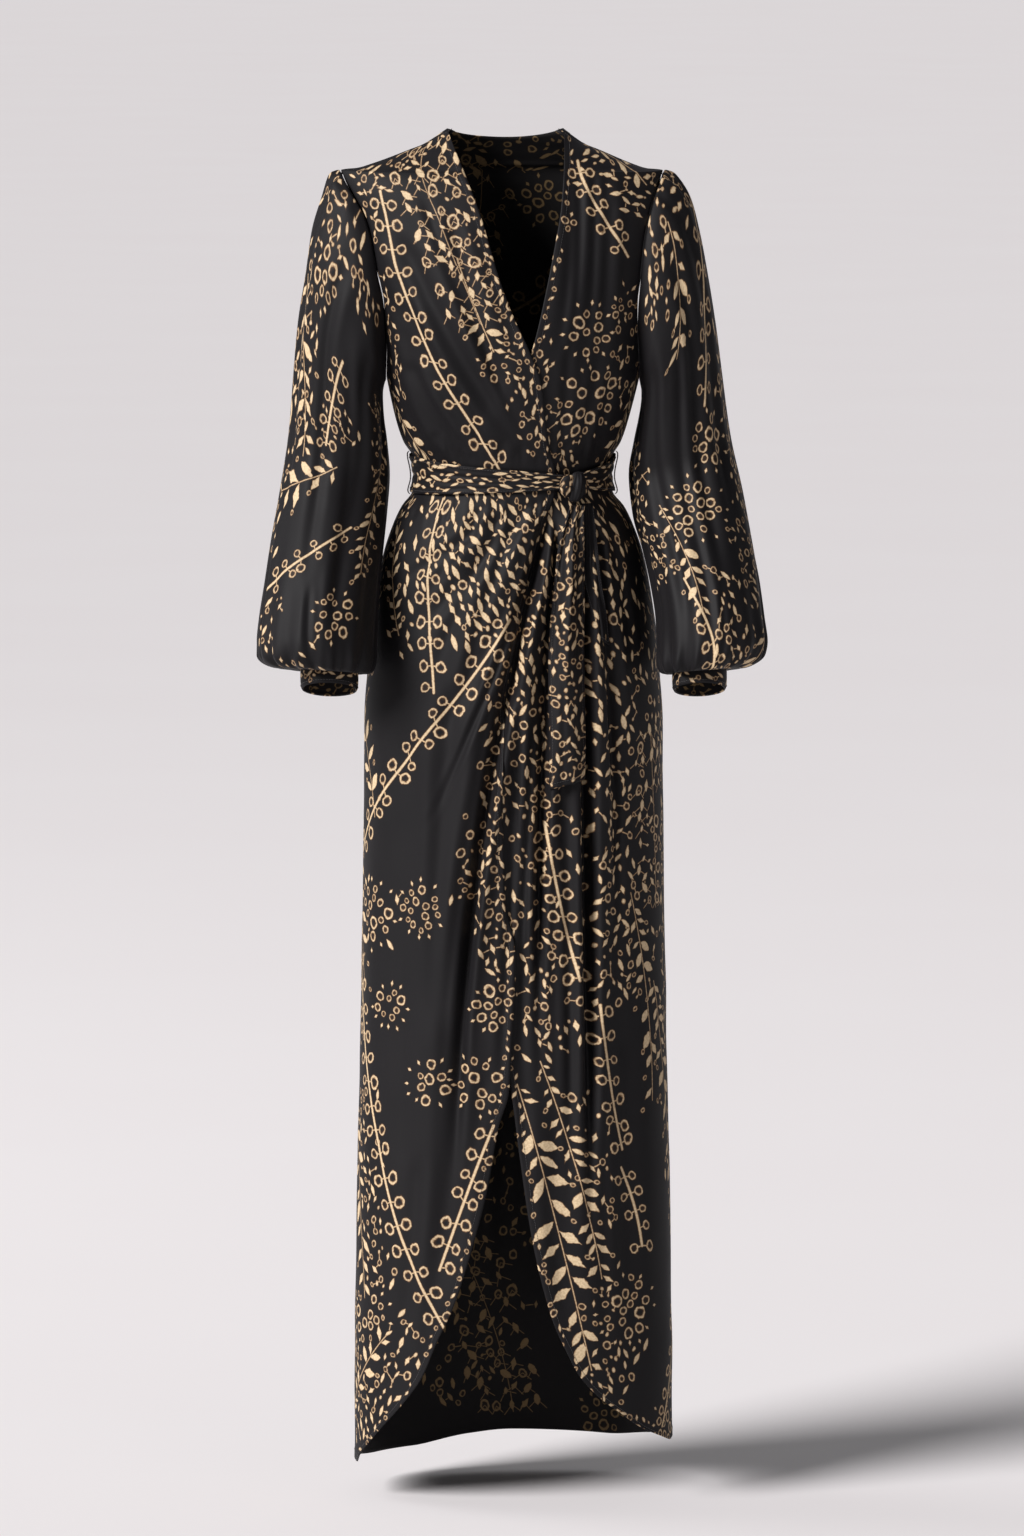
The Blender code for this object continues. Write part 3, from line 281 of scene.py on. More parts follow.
BODICE_FRONT_CREASES = in_metres(Fold, [
    (-20, -94, -42, -290, 23, 1.8, 5.5), (-96, -122, -72, -324, 18, 2, 5.5),
    (-160, -118, -86, -326, -18, 2, 5.5), (-215, -124, -102, -326, -66, 2, 5),
    (-150, -40, -6, -320, 42, 1.6, 5), (-226, -60, -36, -326, -6, 1.8, 4.5),
    (14, 75, 75, -230, 60, 1.8, 4), (10, 92, 91, -240, 79, 1.8, 4.2),
    (-20, 112, 108, -200, 102, 1.4, 5), (-180, 64, 60, -324, 54, 1.8, 4.8),
    (-200, 96, 86, -324, 72, 1.8, 4.5), (-230, 126, 112, -326, 96, 1.8, 4.5),
])
BODICE_BACK_CREASES = in_metres(Fold, [
    (-20, -120, -100, -300, -84, 1.6, 7), (-40, -50, -44, -290, -30, 1.4, 7.5),
    (-60, 20, 18, -300, 14, 1.4, 7), (-30, 74, 66, -300, 48, 1.6, 7.5),
    (-20, 124, 106, -310, 88, 1.6, 7), (-200, -110, -90, -326, -76, 1.8, 5.5),
    (-210, 112, 98, -326, 80, 1.8, 5.5),
])


class Gathers(NamedTuple):
    """Short gathers that fan out from the waist seam."""

    count: int
    x_first: float
    x_last: float
    reach: float
    depth: float
    width: float
    fan: float


SKIRT_FRONT_GATHERS = Gathers(9, -0.085, 0.095, 0.075, 0.0016, 0.0050, 1.25)
SKIRT_BACK_GATHERS = Gathers(10, -0.088, 0.092, 0.090, 0.0022, 0.0050, 1.30)
BODICE_FRONT_GATHERS = Gathers(8, -0.088, 0.094, 0.055, 0.0014, 0.0050, 1.12)
BODICE_BACK_GATHERS = Gathers(9, -0.085, 0.090, 0.070, 0.0020, 0.0050, 1.15)
FINE_SKIRT_GATHERS = Gathers(17, -0.096, 0.100, 0.050, 0.0012, 0.0026, 1.22)
FINE_BODICE_GATHERS = Gathers(15, -0.094, 0.098, 0.042, 0.0011, 0.0026, 1.10)


class SleeveRing(NamedTuple):
    """A ring of a sleeve, from its outer to its inner point across the arm."""

    outer_z: float
    inner_z: float
    right_outer: float
    right_inner: float
    left_outer: float
    left_inner: float
    middle_y: float
    half_depth: float
    tilt: float
    gather: float


SLEEVE = in_metres(SleeveRing, [
    (0, -225, 182.2, 133.5, 166.8, 141.5, 0, 55, 0, 0),
    (-12, -231, 193, 136, 179.5, 143, -2, 61, 0, 0),
    (-34, -238, 201.5, 137, 195.5, 144, -3, 66, 0, 0),
    (-66, -246, 213, 137.2, 206, 144, -3, 69, 0, 0),
    (-112, -257, 220.8, 136.8, 216, 143, -2, 70, 0, 0),
    (-165, -272, 229.2, 135.5, 224.5, 140.5, 0, 69, 0, 0),
    (-222, -295, 234.5, 132.5, 232, 136, 2, 68, 0, 0),
    (-290, -330, 240.5, 130, 241.5, 131, 2, 68, 2, 0.3),
    (-348, -373, 249, 133, 253.8, 135, -14, 70, 4, 0.6),
    (-401, -411, 258, 137, 263.2, 145.5, -34, 73, 8, 1),
    (-444, -449, 264.2, 140.5, 270.5, 154, -55, 75, 10, 1.6),
    (-480, -482, 269.8, 142.5, 275.2, 159, -70, 76, 10, 2.4),
    (-505, -507, 272.5, 144, 278.5, 160.5, -80, 75, 8, 3.2),
    (-520, -526, 271.2, 145.5, 274, 161, -86, 70, 6, 3.8),
    (-529.2, -538, 263, 151, 263, 165, -90, 58, 5, 3.6),
    (-534.5, -540.5, 246.5, 157.5, 248.5, 170.5, -91, 44, 8, 2.2),
    (-530.5, -532, 224.5, 164, 234.4, 177.5, -90, 28.5, 21, 0),
], ("tilt",))


class TailRow(NamedTuple):
    """A level of a free belt end, with how far out it hangs."""

    z: float
    x: float
    half_width: float
    out: float
    crease: float


LONG_TAIL = in_metres(TailRow, [
    (-357.5, 67.5, 7, 13, 1.2), (-372, 66.2, 9.2, 10.5, 1.6), (-400, 64.8, 13.5, 8, 1.8),
    (-440, 64.3, 16.5, 6.8, 1.6), (-490, 63.2, 18.8, 6.6, 1.2), (-540, 62.5, 19.7, 6.2, 1),
    (-590, 62.2, 20, 5, 0.8), (-628, 62, 20, 5.2, 0.6), (-658, 61.8, 20, 5.5, 0.4),
])
SHORT_TAIL = in_metres(TailRow, [
    (-356, 79, 5, 8.5, 0.8), (-372, 82, 6.2, 5.2, 1.2), (-400, 85.5, 7.6, 2.6, 1.2),
    (-440, 90.5, 8, 2.1, 1), (-480, 96.5, 8, 1.8, 0.8), (-504, 100, 8, 1.6, 0.6),
])
TAIL_SLANT = 0.010


def smooth_curve(places: Sequence[float], values: Sequence[float], at: Grid) -> Grid:
    """A monotone cubic through the values, which adds no bumps of its own.

    Args:
        places: Where the values stand, rising.
        values: One value at each place.
        at: Where the curve is read.

    Returns:
        The curve's values, in the shape of at.
    """
    xs, ys = np.asarray(places, float), np.asarray(values, float)
    at = np.clip(at, xs[0], xs[-1])
    step = np.diff(xs)
    slope = np.diff(ys) / step
    same_way = slope[:-1] * slope[1:] > 0
    first, second = 2 * step[1:] + step[:-1], step[1:] + 2 * step[:-1]
    before = np.where(same_way, slope[:-1], 1)
    after = np.where(same_way, slope[1:], 1)
    lean = np.concatenate([slope[:1], np.zeros(len(xs) - 2), slope[-1:]])
    lean[1:-1] = np.where(same_way, (first + second) / (first / before + second / after), 0)
    i = np.clip(np.searchsorted(xs, at, side="right") - 1, 0, len(step) - 1)
    t = (at - xs[i]) / step[i]
    near = ys[i] * (1 + 2 * t) + step[i] * lean[i] * t
    far = ys[i + 1] * (3 - 2 * t) + step[i] * lean[i + 1] * (t - 1)
    return near * (1 - t) ** 2 + far * t**2


def column(table: Sequence[NamedTuple], name: str) -> list[float]:
    """One named column of a table."""
    return [getattr(row, name) for row in table]


def ease(start: float | Grid, end: float | Grid, value: float | Grid) -> float | Grid:
    """0 before start, 1 past end, and a smooth step between them."""
    t = np.clip((value - start) / (end - start), 0, 1)
    return t * t * (3 - 2 * t)


def edge_x(edge: Sequence[EdgePoint], z: Grid) -> Grid:
    """The place across of a free edge at these heights."""
    return smooth_curve(column(edge, "z"), column(edge, "x"), z)


def wrap_angle(angle: Grid) -> Grid:
    """The same angles between -pi and pi."""
    return (angle + math.pi) % (2 * math.pi) - math.pi


def round_angles(columns: int) -> Grid:
    """Even angles all round, the first not repeated."""
    return np.linspace(0, 2 * math.pi, columns + 1)[:-1]


def cut_grid(across: Grid, along: Grid) -> Grid:
    """Places on a flat cut, from one row across and one column along it."""
    return np.stack(np.broadcast_arrays(across, along), axis=-1).copy()


def link_object(name: str, mesh: bpy.types.Mesh) -> Piece:
    """A mesh's object, in the scene."""
    made = bpy.data.objects.new(name, mesh)
    bpy.context.scene.collection.objects.link(made)
    return made


def unit(vectors: Grid) -> Grid:
    """The vectors at length 1."""
    return vectors / np.maximum(np.linalg.norm(vectors, axis=-1, keepdims=True), 1e-12)


class Form:
    """The dress's one curved surface, by height and by turn from the front."""

    @staticmethod
    def sizes(z: Grid) -> list[Grid]:
        """Half width, front depth, back depth, middle and squareness at each height."""
        heights = column(BODY, "z")
        return [smooth_curve(heights, column(BODY, name), z) for name in BodyRing._fields[1:]]

    @classmethod
    def at(cls, z: Grid, turn: Grid) -> Grid:
        """Points of the outer surface at these heights and turns."""
        half_width, front, back, middle, squareness = cls.sizes(z)
        power = 2 / squareness
        across, ahead = np.sin(turn), np.cos(turn)
        x = middle + half_width * np.sign(across) * np.abs(across) ** power
        y = -np.sign(ahead) * np.where(ahead > 0, front, back) * np.abs(ahead) ** power
        return np.stack(np.broadcast_arrays(x, y, z), axis=-1)

    @classmethod
    def normal(cls, z: Grid, turn: Grid, level: bool = False) -> Grid:
        """The surface's outward direction, kept level where asked."""
        nudge_z, nudge_turn = 0.0015, 0.01
        along = cls.at(z, turn + nudge_turn) - cls.at(z, turn - nudge_turn)
        upward = cls.at(z + nudge_z, turn) - cls.at(z - nudge_z, turn)
        normal = np.cross(along, upward)
        if level:
            normal = unit(normal)
            normal[..., 2] = 0
        return unit(normal)

    @classmethod
    def front_turn(cls, z: Grid, x: Grid) -> Grid:
        """The turn of a front point by its place across."""
        half_width, _, _, middle, squareness = cls.sizes(z)
        share = np.clip((x - middle) / half_width, -1, 1)
        return np.sign(share) * np.arcsin(np.abs(share) ** (squareness / 2))

    @classmethod
    def depth_turn(cls, z: Grid, depth: Grid, ahead: bool) -> Grid:
        """How far from the front, or from the back, the surface is this deep."""
        _, front, back, _, squareness = cls.sizes(z)
        share = np.clip(depth / (front if ahead else back), 0, 1)
        turn = np.arccos(share ** (squareness / 2))
        return turn if ahead else math.pi - turn

    @classmethod
    def armhole_turn(cls, z: Grid, ahead: bool) -> Grid:
        """The turn of the armhole's edge on the front or the back."""
        share = np.clip(1 - z / (UNDERARM_Z / 2), -1, 1)
        reach = ARMHOLE_FRONT if ahead else ARMHOLE_BACK
        return cls.depth_turn(z, reach * np.sqrt(1 - share**2), ahead)

    @classmethod
    def side_turn(cls, z: Grid, ahead: bool) -> Grid:
        """Where a panel ends: side seam, armhole or shoulder seam."""
        in_armhole = (z < 0) & (z > UNDERARM_Z)
        forward = SHOULDER_SEAM_FORWARD * np.clip(z / NECK_Z, 0, 1)
        seam = np.where(z >= 0, cls.depth_turn(z, forward, True), QUARTER)
        return np.where(in_armhole, cls.armhole_turn(z, ahead), seam)

    @classmethod
    def arc(cls, z: Grid, turn: Grid, start: float) -> Grid:
        """The length along each level row of a grid, from the turn named start.

        Args:
            z: Heights, one row of the grid for each.
            turn: Turns of the grid's points.
            start: The turn at which the length is 0.

        Returns:
            Lengths in metres, negative before start.
        """
        fine = np.linspace(start - math.pi, start + math.pi, 361)
        lengths = np.empty_like(turn)
        for i in range(len(turn)):
            ring = cls.at(np.full_like(fine, z[i].mean()), fine)
            steps = np.linalg.norm(np.diff(ring, axis=0), axis=1)
            run = np.concatenate([[0], np.cumsum(steps)])
            lengths[i] = np.interp(turn[i], fine, run - run[len(fine) // 2])
        return lengths


def trough(across: Grid) -> Grid:
    """A trough, 1 deep, with a low roll at each side, by shares of its width."""
    place, share = 1.9, 0.4
    rolls = np.exp(-((across - place) ** 2)) + np.exp(-((across + place) ** 2))
    return share * rolls - np.exp(-(across**2))


def fold_relief(folds: Sequence[Fold], x: Grid, z: Grid) -> Grid:
    """How far the folds move the cloth out, negative in their troughs."""
    fade_in, fade_out = 0.12, 0.55
    relief = np.zeros(np.broadcast(x, z).shape)
    for fold in folds:
        length = fold.z_top - fold.z_low
        t = np.clip((fold.z_top - z) / length, 0, 1)
        start = fold.x_top * (1 - t) * (1 - 2 * t)
        line = start + fold.x_middle * 4 * t * (1 - t) + fold.x_low * t * (2 * t - 1)
        slant = (fold.x_low - fold.x_top) / length
        across = (x - line) / (fold.width * math.sqrt(1 + slant**2))
        strength = ease(0, fade_in, t) * (1 - ease(fade_out, 1, t))
        relief += fold.depth * strength * trough(across)
    return relief


def waist_folds(gathers: Gathers, downward: int) -> list[Fold]:
    """One short fold for each gather, uneven in place, length and depth."""
    folds = []
    for k in range(gathers.count):
        share = (k + 0.5 + 0.22 * math.sin(2.7 * k + 1)) / gathers.count
        x = gathers.x_first + (gathers.x_last - gathers.x_first) * share
        reach = gathers.reach * (1 + 0.35 * math.sin(4.1 * k))
        depth = gathers.depth * (1 + 0.4 * math.sin(1.9 * k + 2))
        near, far = WAIST_Z + 0.004 * downward, WAIST_Z - reach * downward
        x_far = x * gathers.fan
        top, low = (near, far) if downward > 0 else (far, near)
        x_top, x_low = (x, x_far) if downward > 0 else (x_far, x)
        folds.append(Fold(top, x_top, (x_top + x_low) / 2, low, x_low, depth, gathers.width))
    return folds


SKIRT_FRONT = SKIRT_FRONT_FOLDS + waist_folds(SKIRT_FRONT_GATHERS, 1)
SKIRT_BACK = SKIRT_BACK_FOLDS + waist_folds(SKIRT_BACK_GATHERS, 1)
BODICE_FRONT = BODICE_FRONT_FOLDS + waist_folds(BODICE_FRONT_GATHERS, -1)
BODICE_BACK = BODICE_BACK_FOLDS + waist_folds(BODICE_BACK_GATHERS, -1)
SKIRT_FRONT_FINE = SKIRT_FRONT_CREASES + waist_folds(FINE_SKIRT_GATHERS, 1)
SKIRT_BACK_FINE = SKIRT_BACK_CREASES + waist_folds(FINE_SKIRT_GATHERS, 1)
BODICE_FRONT_FINE = BODICE_FRONT_CREASES + waist_folds(FINE_BODICE_GATHERS, -1)
BODICE_BACK_FINE = BODICE_BACK_CREASES + waist_folds(FINE_BODICE_GATHERS, -1)


def ripple(u: Grid, v: Grid) -> Grid:
    """Slight unevenness of hanging crepe, about half a millimetre each way."""
    waves = [(31, 9, 0.3), (-17, 26, 1.1), (58, -21, 2.4), (44, 47, 4.0), (-83, 30, 5.2)]
    total = sum(np.sin(a * u + b * v + c + 1.3 * np.sin(0.4 * a * v + c)) for a, b, c in waves)
    return 0.00016 * total


def relief_on(folds: Sequence[Fold], fine: Sequence[Fold], x: Grid, z: Grid) -> Grid:
    """Folds and creases, which die out at the side seams and lie flat under the belt."""
    half_width, _, _, middle, _ = Form.sizes(z)
    inside = 1 - np.clip(np.abs(x - middle) / half_width, 0, 1) ** 8
    free_of_belt = 0.15 + 0.85 * ease(BELT_FLAT * 0.6, BELT_FLAT * 1.6, np.abs(z - WAIST_Z))
    both = fold_relief(folds, x, z) + fold_relief(fine, x, z)
    return (both * inside + ripple(x, z)) * free_of_belt


def over_lift(under_edge: Sequence[EdgePoint], x: Grid, z: Grid) -> Grid:
    """The over front rises from its own level to lie on the under front."""
    covered = edge_x(under_edge, z)
    return LAYER_LIFT * ease(covered - 0.030, covered - 0.004, x)


def under_tuck(over_edge: Sequence[EdgePoint], x: Grid, z: Grid) -> Grid:
    """The under front dips where the over front covers it."""
    free = edge_x(over_edge, z)
    return -HIDDEN_TUCK * (1 - ease(free - 0.014, free - 0.002, x))


class Shape(NamedTuple):
    """The outline of a printed mark: powers along and across it."""

    along: float
    across: float


OVAL = Shape(2, 2)
LEAF = Shape(2, 1)
DIAMOND = Shape(1, 1)
SOLID = -9.0  # the hole level of a mark without a hole
MOST_MARKS = 6000
RING_HOLE = 0.60  # the hole's share of a ring's width
BEAD_HOLE = 0.50
LINK_REACH = 0.015
FAR_MARK = (9, 9, 0, MM, MM, 2, 2, SOLID, 1)  # out of reach, for a cut with no marks
FAR_STEM = (9, 9, 9.1, 9, MM)

# Half widths of the print's lines
BOLD_STEM = 0.0017
STALK = 0.0008
LEAF_STEM = 0.0007
LINK_LINE = 0.0006
NET_STEM = 0.0005
NET_LINE = 0.00045


def moved(u: float, v: float, way: float, ahead: float, aside: float = 0.0) -> tuple[float, float]:
    """A place moved ahead along a direction, and aside to its left."""
    cos, sin = math.cos(way), math.sin(way)
    return u + ahead * cos - aside * sin, v + ahead * sin + aside * cos


def corners_of(path: Sequence[float]) -> Grid:
    """A path's corners in metres, from its pairs of numbers in millimetres."""
    return np.asarray(path, float).reshape(-1, 2) / 1000


def steps_along(line: Grid, spacing: float, start: float) -> list[tuple[float, float, float]]:
    """Places at even spacing on a line, each with its direction."""
    steps = np.linalg.norm(np.diff(line, axis=0), axis=1)
    run = np.concatenate([[0], np.cumsum(steps)])
    places = []
    for at in np.arange(start, run[-1], spacing):
        i = min(int(np.searchsorted(run, at, side="right")) - 1, len(steps) - 1)
        way = line[i + 1] - line[i]
        u, v = line[i] + way * (at - run[i]) / max(steps[i], 1e-9)
        places.append((float(u), float(v), math.atan2(way[1], way[0])))
    return places


@dataclass
class PrintSheet:
    """A layout of printed marks on one flat cut, in metres: each mark is an oval,
    leaf or diamond, whole or with a hole, and each stem a straight piece of line."""

    seed: int
    gap: float
    marks: list[tuple[float, ...]] = field(default_factory=list)
    stems: list[tuple[float, ...]] = field(default_factory=list)

    def __post_init__(self) -> None:
        """Starts the layout's own fixed random numbers and its list of taken places."""
        self.random = np.random.default_rng(self.seed)
        self.taken = np.empty((MOST_MARKS, 3))

    def mark(self, u: float, v: float, angle: float, half_long: float, half_wide: float,
             shape: Shape = OVAL, hole: float = 0.0) -> bool:
        """Adds one mark where it has room.

        Args:
            u: Its place across the cut.
            v: Its place along the cut.
            angle: The way its long axis points, from +u.
            half_long: Half its length.
            half_wide: Half its width.
            shape: Its outline.
            hole: The hole's share of its width, 0 for none.

        Returns:
            Whether it was added.
        """
        reach = math.sqrt(half_long * half_wide)
        count = len(self.marks)
        if count:
            held = self.taken[:count]
            away = np.hypot(held[:, 0] - u, held[:, 1] - v) - held[:, 2] - reach
            if away.min() < self.gap:
                return False
        self.taken[count] = u, v, reach
        level = hole**2 if hole else SOLID
        steep = half_wide / (2 if shape == OVAL else 1)
        self.marks.append((u, v, angle, half_long, half_wide, *shape, level, steep / MM))
        return True

    def stem(self, path: Sequence[float], half_width: float) -> Grid:
        """Adds a smooth line through a path's corners and gives its fine points."""
        corners, longest = corners_of(path), 0.012
        length = np.linalg.norm(np.diff(corners, axis=0), axis=1).sum()
        place = np.linspace(0, 1, len(corners))
        share = np.linspace(0, 1, max(4, int(length / longest)))
        power = min(len(corners) - 1, 3)
        line = np.stack([np.polyval(np.polyfit(place, corners[:, k], power), share) for k in (0, 1)],
                        axis=1)
        for start, end in zip(line[:-1], line[1:]):
            self.stems.append((*start, *end, half_width))
        return line

    def link(self) -> None:
        """Joins the last mark to its nearest neighbour with a thin line, where one is near."""
        count = len(self.marks)
        u, v, reach = self.taken[count - 1]
        aside = self.taken[:count - 1, :2] - (u, v)
        away = np.hypot(aside[:, 0], aside[:, 1])
        if len(away) == 0 or away.min() > LINK_REACH:
            return
        k = int(away.argmin())
        way = aside[k] / away[k]
        start, end = way * reach, way * (away[k] - self.taken[k, 2])
        self.stems.append((u + start[0], v + start[1], u + end[0], v + end[1], LINK_LINE))

    def border(self, line: Grid, spacing: float = 0.0104, inset: float = 0.0062) -> None:
        """A loose row of small rings, leaves and bits inside a free edge.

        Args:
            line: The edge's points, with the cloth on their left.
            spacing: How far the marks lie from each other.
            inset: How far in the row of marks lies.
        """
        for k, (u, v, way) in enumerate(steps_along(line, spacing, 0.004)):
            place = moved(u, v, way, 0, inset * self.random.uniform(0.6, 1.5))
            turn = way + self.random.uniform(-0.8, 0.8)
            self.mark(*place, turn, *BORDER_MARKS[k % 3])

    def nearest(self, centres: Grid) -> tuple[Grid, Grid]:
        """The two nearest marks and stems of each place.

        Args:
            centres: Places on the cut, one row each.

        Returns:
            The marks and the stems, two for each place.
        """
        marks = np.array(self.marks or [FAR_MARK] * 2, float)
        stems = np.array(self.stems or [FAR_STEM] * 2, float)
        near_marks, near_stems, at_once = [], [], 3000
        for part in np.array_split(centres, max(1, len(centres) // at_once)):
            level = mark_level(marks, part[:, None, :])[2]
            away = (level - 1) * marks[:, 8]
            near_marks.append(np.argpartition(away, 1, axis=1)[:, :2])
            across, along, half, wide = stem_place(stems, part[:, None, :])
            away = np.hypot(across, np.maximum(np.abs(along) - half, 0)) - wide
            near_stems.append(np.argpartition(away, 1, axis=1)[:, :2])
        return marks[np.concatenate(near_marks)], stems[np.concatenate(near_stems)]


BORDER_MARKS = [
    (0.0026, 0.0014, DIAMOND),
    (0.0030, 0.0026, OVAL, BEAD_HOLE),
    (0.0040, 0.0017, LEAF),
]


class Sprig(NamedTuple):
    """A bold stem with ringed berries in loose pairs on short stalks, in millimetres."""

    path: Sequence[float]
    spacing: float = 26
    ring: float = 5.8

    def lay(self, sheet: PrintSheet) -> None:
        """Adds the stem, then each berry that has room, with its stalk."""
        draw = sheet.random.uniform
        line = sheet.stem(self.path, BOLD_STEM)
        for k, (u, v, way) in enumerate(steps_along(line, self.spacing / 1000, 0.012)):
            for side in (-1, 1):
                size = self.ring / 1000 * draw(0.92, 1.22)
                lead = draw(-0.004, 0.004) + 0.003 * side * (k % 2)
                off = size + draw(0.0040, 0.0052)
                cu, cv = moved(u, v, way, lead, side * off)
                if sheet.mark(cu, cv, way + draw(-1, 1), size * 1.14, size * 0.96, OVAL, RING_HOLE):
                    toe = 1 - size * 0.8 / off
                    sheet.stems.append((u, v, u + (cu - u) * toe, v + (cv - v) * toe, STALK))


class Spray(NamedTuple):
    """A thin stem with long pointed leaves that shorten to its tip, in millimetres."""

    path: Sequence[float]
    spacing: float = 11.5
    leaf: float = 8.5

    def lay(self, sheet: PrintSheet) -> None:
        """Adds the stem, its leaves and the beads past some of their tips."""
        draw = sheet.random.uniform
        places = steps_along(sheet.stem(self.path, LEAF_STEM), self.spacing / 1000, 0.005)
        for k, (u, v, way) in enumerate(places):
            grow = 0.55 + 0.6 * math.sin(math.pi * (0.15 + 0.8 * (1 - k / len(places))))
            for side in (-1, 1):
                size = self.leaf / 1000 * grow * draw(0.70, 1.15)
                turn = way + side * draw(0.55, 1.15)
                reach = size + draw(0.0010, 0.0024)
                shape = DIAMOND if sheet.random.random() < 0.5 else LEAF
                broad = size * draw(0.34, 0.52)
                sheet.mark(*moved(u, v, turn, reach), turn, size, broad, shape)
                if k % 3 == side + 1:
                    bead = moved(u, v, turn, 2 * size + 0.0052)
                    sheet.mark(*bead, turn, 0.0034, 0.0026, OVAL, BEAD_HOLE)


class Cluster(NamedTuple):
    """Rings crowded in a patch, with small bits round its rim, in millimetres."""

    u: float
    v: float
    radius: float
    ring: float = 5.2

    def lay(self, sheet: PrintSheet) -> None:
        """Tries rings all over the patch, then lays the bits."""
        draw, tries, bits = sheet.random.uniform, 140, 12
        u, v, radius = self.u / 1000, self.v / 1000, self.radius / 1000
        for _ in range(tries):
            way, out = draw(0, 2 * math.pi), math.sqrt(sheet.random.random())
            size = self.ring / 1000 * draw(0.68, 1.3)
            sheet.mark(*moved(u, v, way, radius * out), way, size * 1.12, size, OVAL, RING_HOLE)
        for k in range(bits):
            way, out = 0.52 * k + draw(-0.15, 0.15), draw(1.12, 1.4)
            sheet.mark(*moved(u, v, way, radius * out), way, 0.0032, 0.0019, DIAMOND)


class Net(NamedTuple):
    """A band of thin uneven meshes with a mark in most cells, in millimetres."""

    path: Sequence[float]
    width: float
    cell: float = 15.5

    def lay(self, sheet: PrintSheet) -> None:
        """Adds the middle line, then each cell's mark and its two threads."""
        draw, chance, cell = sheet.random.uniform, sheet.random.random, self.cell / 1000
        rows = max(2, round(self.width / self.cell))
        for k, (u, v, way) in enumerate(steps_along(sheet.stem(self.path, NET_STEM), cell, 0.004)):
            for j in range(rows + 1):
                jog = draw(-0.0036, 0.0036, 2)
                cu, cv = moved(u, v, way, 0, (j - rows / 2 + 0.5 * (k % 2)) * cell) + jog
                turn = way + draw(-0.8, 0.8)
                size = draw(0.0030, 0.0070)
                hole = RING_HOLE if chance() < 0.3 else 0.0
                form = OVAL if hole else (DIAMOND if j % 2 else LEAF)
                if chance() > 0.85:
                    continue
                broad = size * (0.95 if hole else 0.58)
                if sheet.mark(cu, cv, turn, size * 1.2, broad, form, hole):
                    for side in (-1, 1):
                        lean = way + side * draw(0.5, 1.2)
                        tip = moved(cu, cv, lean, cell * draw(0.6, 0.95))
                        sheet.stems.append((cu, cv, *tip, NET_LINE))


class Strewn(NamedTuple):
    """A strewn mark, drawn by chance: its sizes are shares of the drift's own."""

    below: float
    long: float
    wide: float
    shape: Shape
    hole: float


STREWN_MARKS = [
    Strewn(0.34, 1.15, 0.95, OVAL, RING_HOLE),
    Strewn(0.62, 1.6, 0.54, LEAF, 0.0),
    Strewn(0.86, 1.35, 0.62, DIAMOND, 0.0),
    Strewn(1.0, 0.62, 0.42, OVAL, 0.0),
]


class Drift(NamedTuple):
    """Mixed rings, leaves and bits strewn along a path, thinning to its sides: the
    path, the band's width and the largest mark's half size are in millimetres."""

    path: Sequence[float]
    width: float
    tries: int
    big: float = 4.6
    lean: float = 0.0
    leafy: float = 0.0  # how many more marks are long leaves
    linked: float = 0.45  # the share that a thin line joins to a neighbour

    def lay(self, sheet: PrintSheet) -> None:
        """Tries the marks one by one; those without room are left out."""
        draw, chance, look = sheet.random.uniform, sheet.random.random, 0.02
        corners = corners_of(self.path)
        place = np.linspace(0, 1, len(corners))
        for _ in range(self.tries):
            t = chance()
            off = sheet.random.normal(0, self.width / 1000 / 2.2)
            at, after, before = (
                [float(np.interp(share, place, corners[:, k])) for k in (0, 1)]
                for share in (t, min(t + look, 1), max(t - look, 0)))
            way = math.atan2(after[1] - before[1], after[0] - before[0])
            u, v = moved(*at, way, 0, off)
            pick, size = chance(), self.big / 1000 * draw(0.62, 1.1)
            turn = way + self.lean + draw(-0.8, 0.8) * (1 - 0.5 * self.leafy)
            first = STREWN_MARKS[0].below
            pick += self.leafy * first * (pick < first)
            mark = next(row for row in STREWN_MARKS if pick < row.below)
            placed = sheet.mark(u, v, turn, size * mark.long, size * mark.wide, mark.shape, mark.hole)
            if placed and chance() < self.linked:
                sheet.link()


class Dab(NamedTuple):
    """A single mark, with its sizes in millimetres."""

    u: float
    v: float
    angle: float
    half_long: float
    half_wide: float
    shape: Shape
    hole: float = 0.0

    def lay(self, sheet: PrintSheet) -> None:
        """Adds the mark."""
        u, v, half_long, half_wide = (self[k] / 1000 for k in (0, 1, 3, 4))
        sheet.mark(u, v, self.angle, half_long, half_wide, self.shape, self.hole)


Motif = Sprig | Spray | Cluster | Net | Drift | Dab


SLEEVE_BACK_PRINT: list[Motif] = [
    Sprig([-30, -60, -80, -160, -90, -270], 24.5, 5),
    Spray([-150, -120, -160, -210, -130, -300], 12, 10), Cluster(-170, -380, 26, 5),
    Cluster(-60, -360, 24, 5), Spray([-20, -300, -30, -380, -70, -450], 12, 9),
    Drift([-60, -60, -130, -140, -200, -260], 30, 200, 4.2),
    Drift([-200, -560, -60, -545, 60, -545, 200, -560], 30, 900, 4.2),
]


class Layout(NamedTuple):
    """The print of one piece: its fixed seed, its motifs, and the least gap in millimetres."""

    seed: int
    motifs: Sequence[Motif] = ()
    gap: float = 1.6


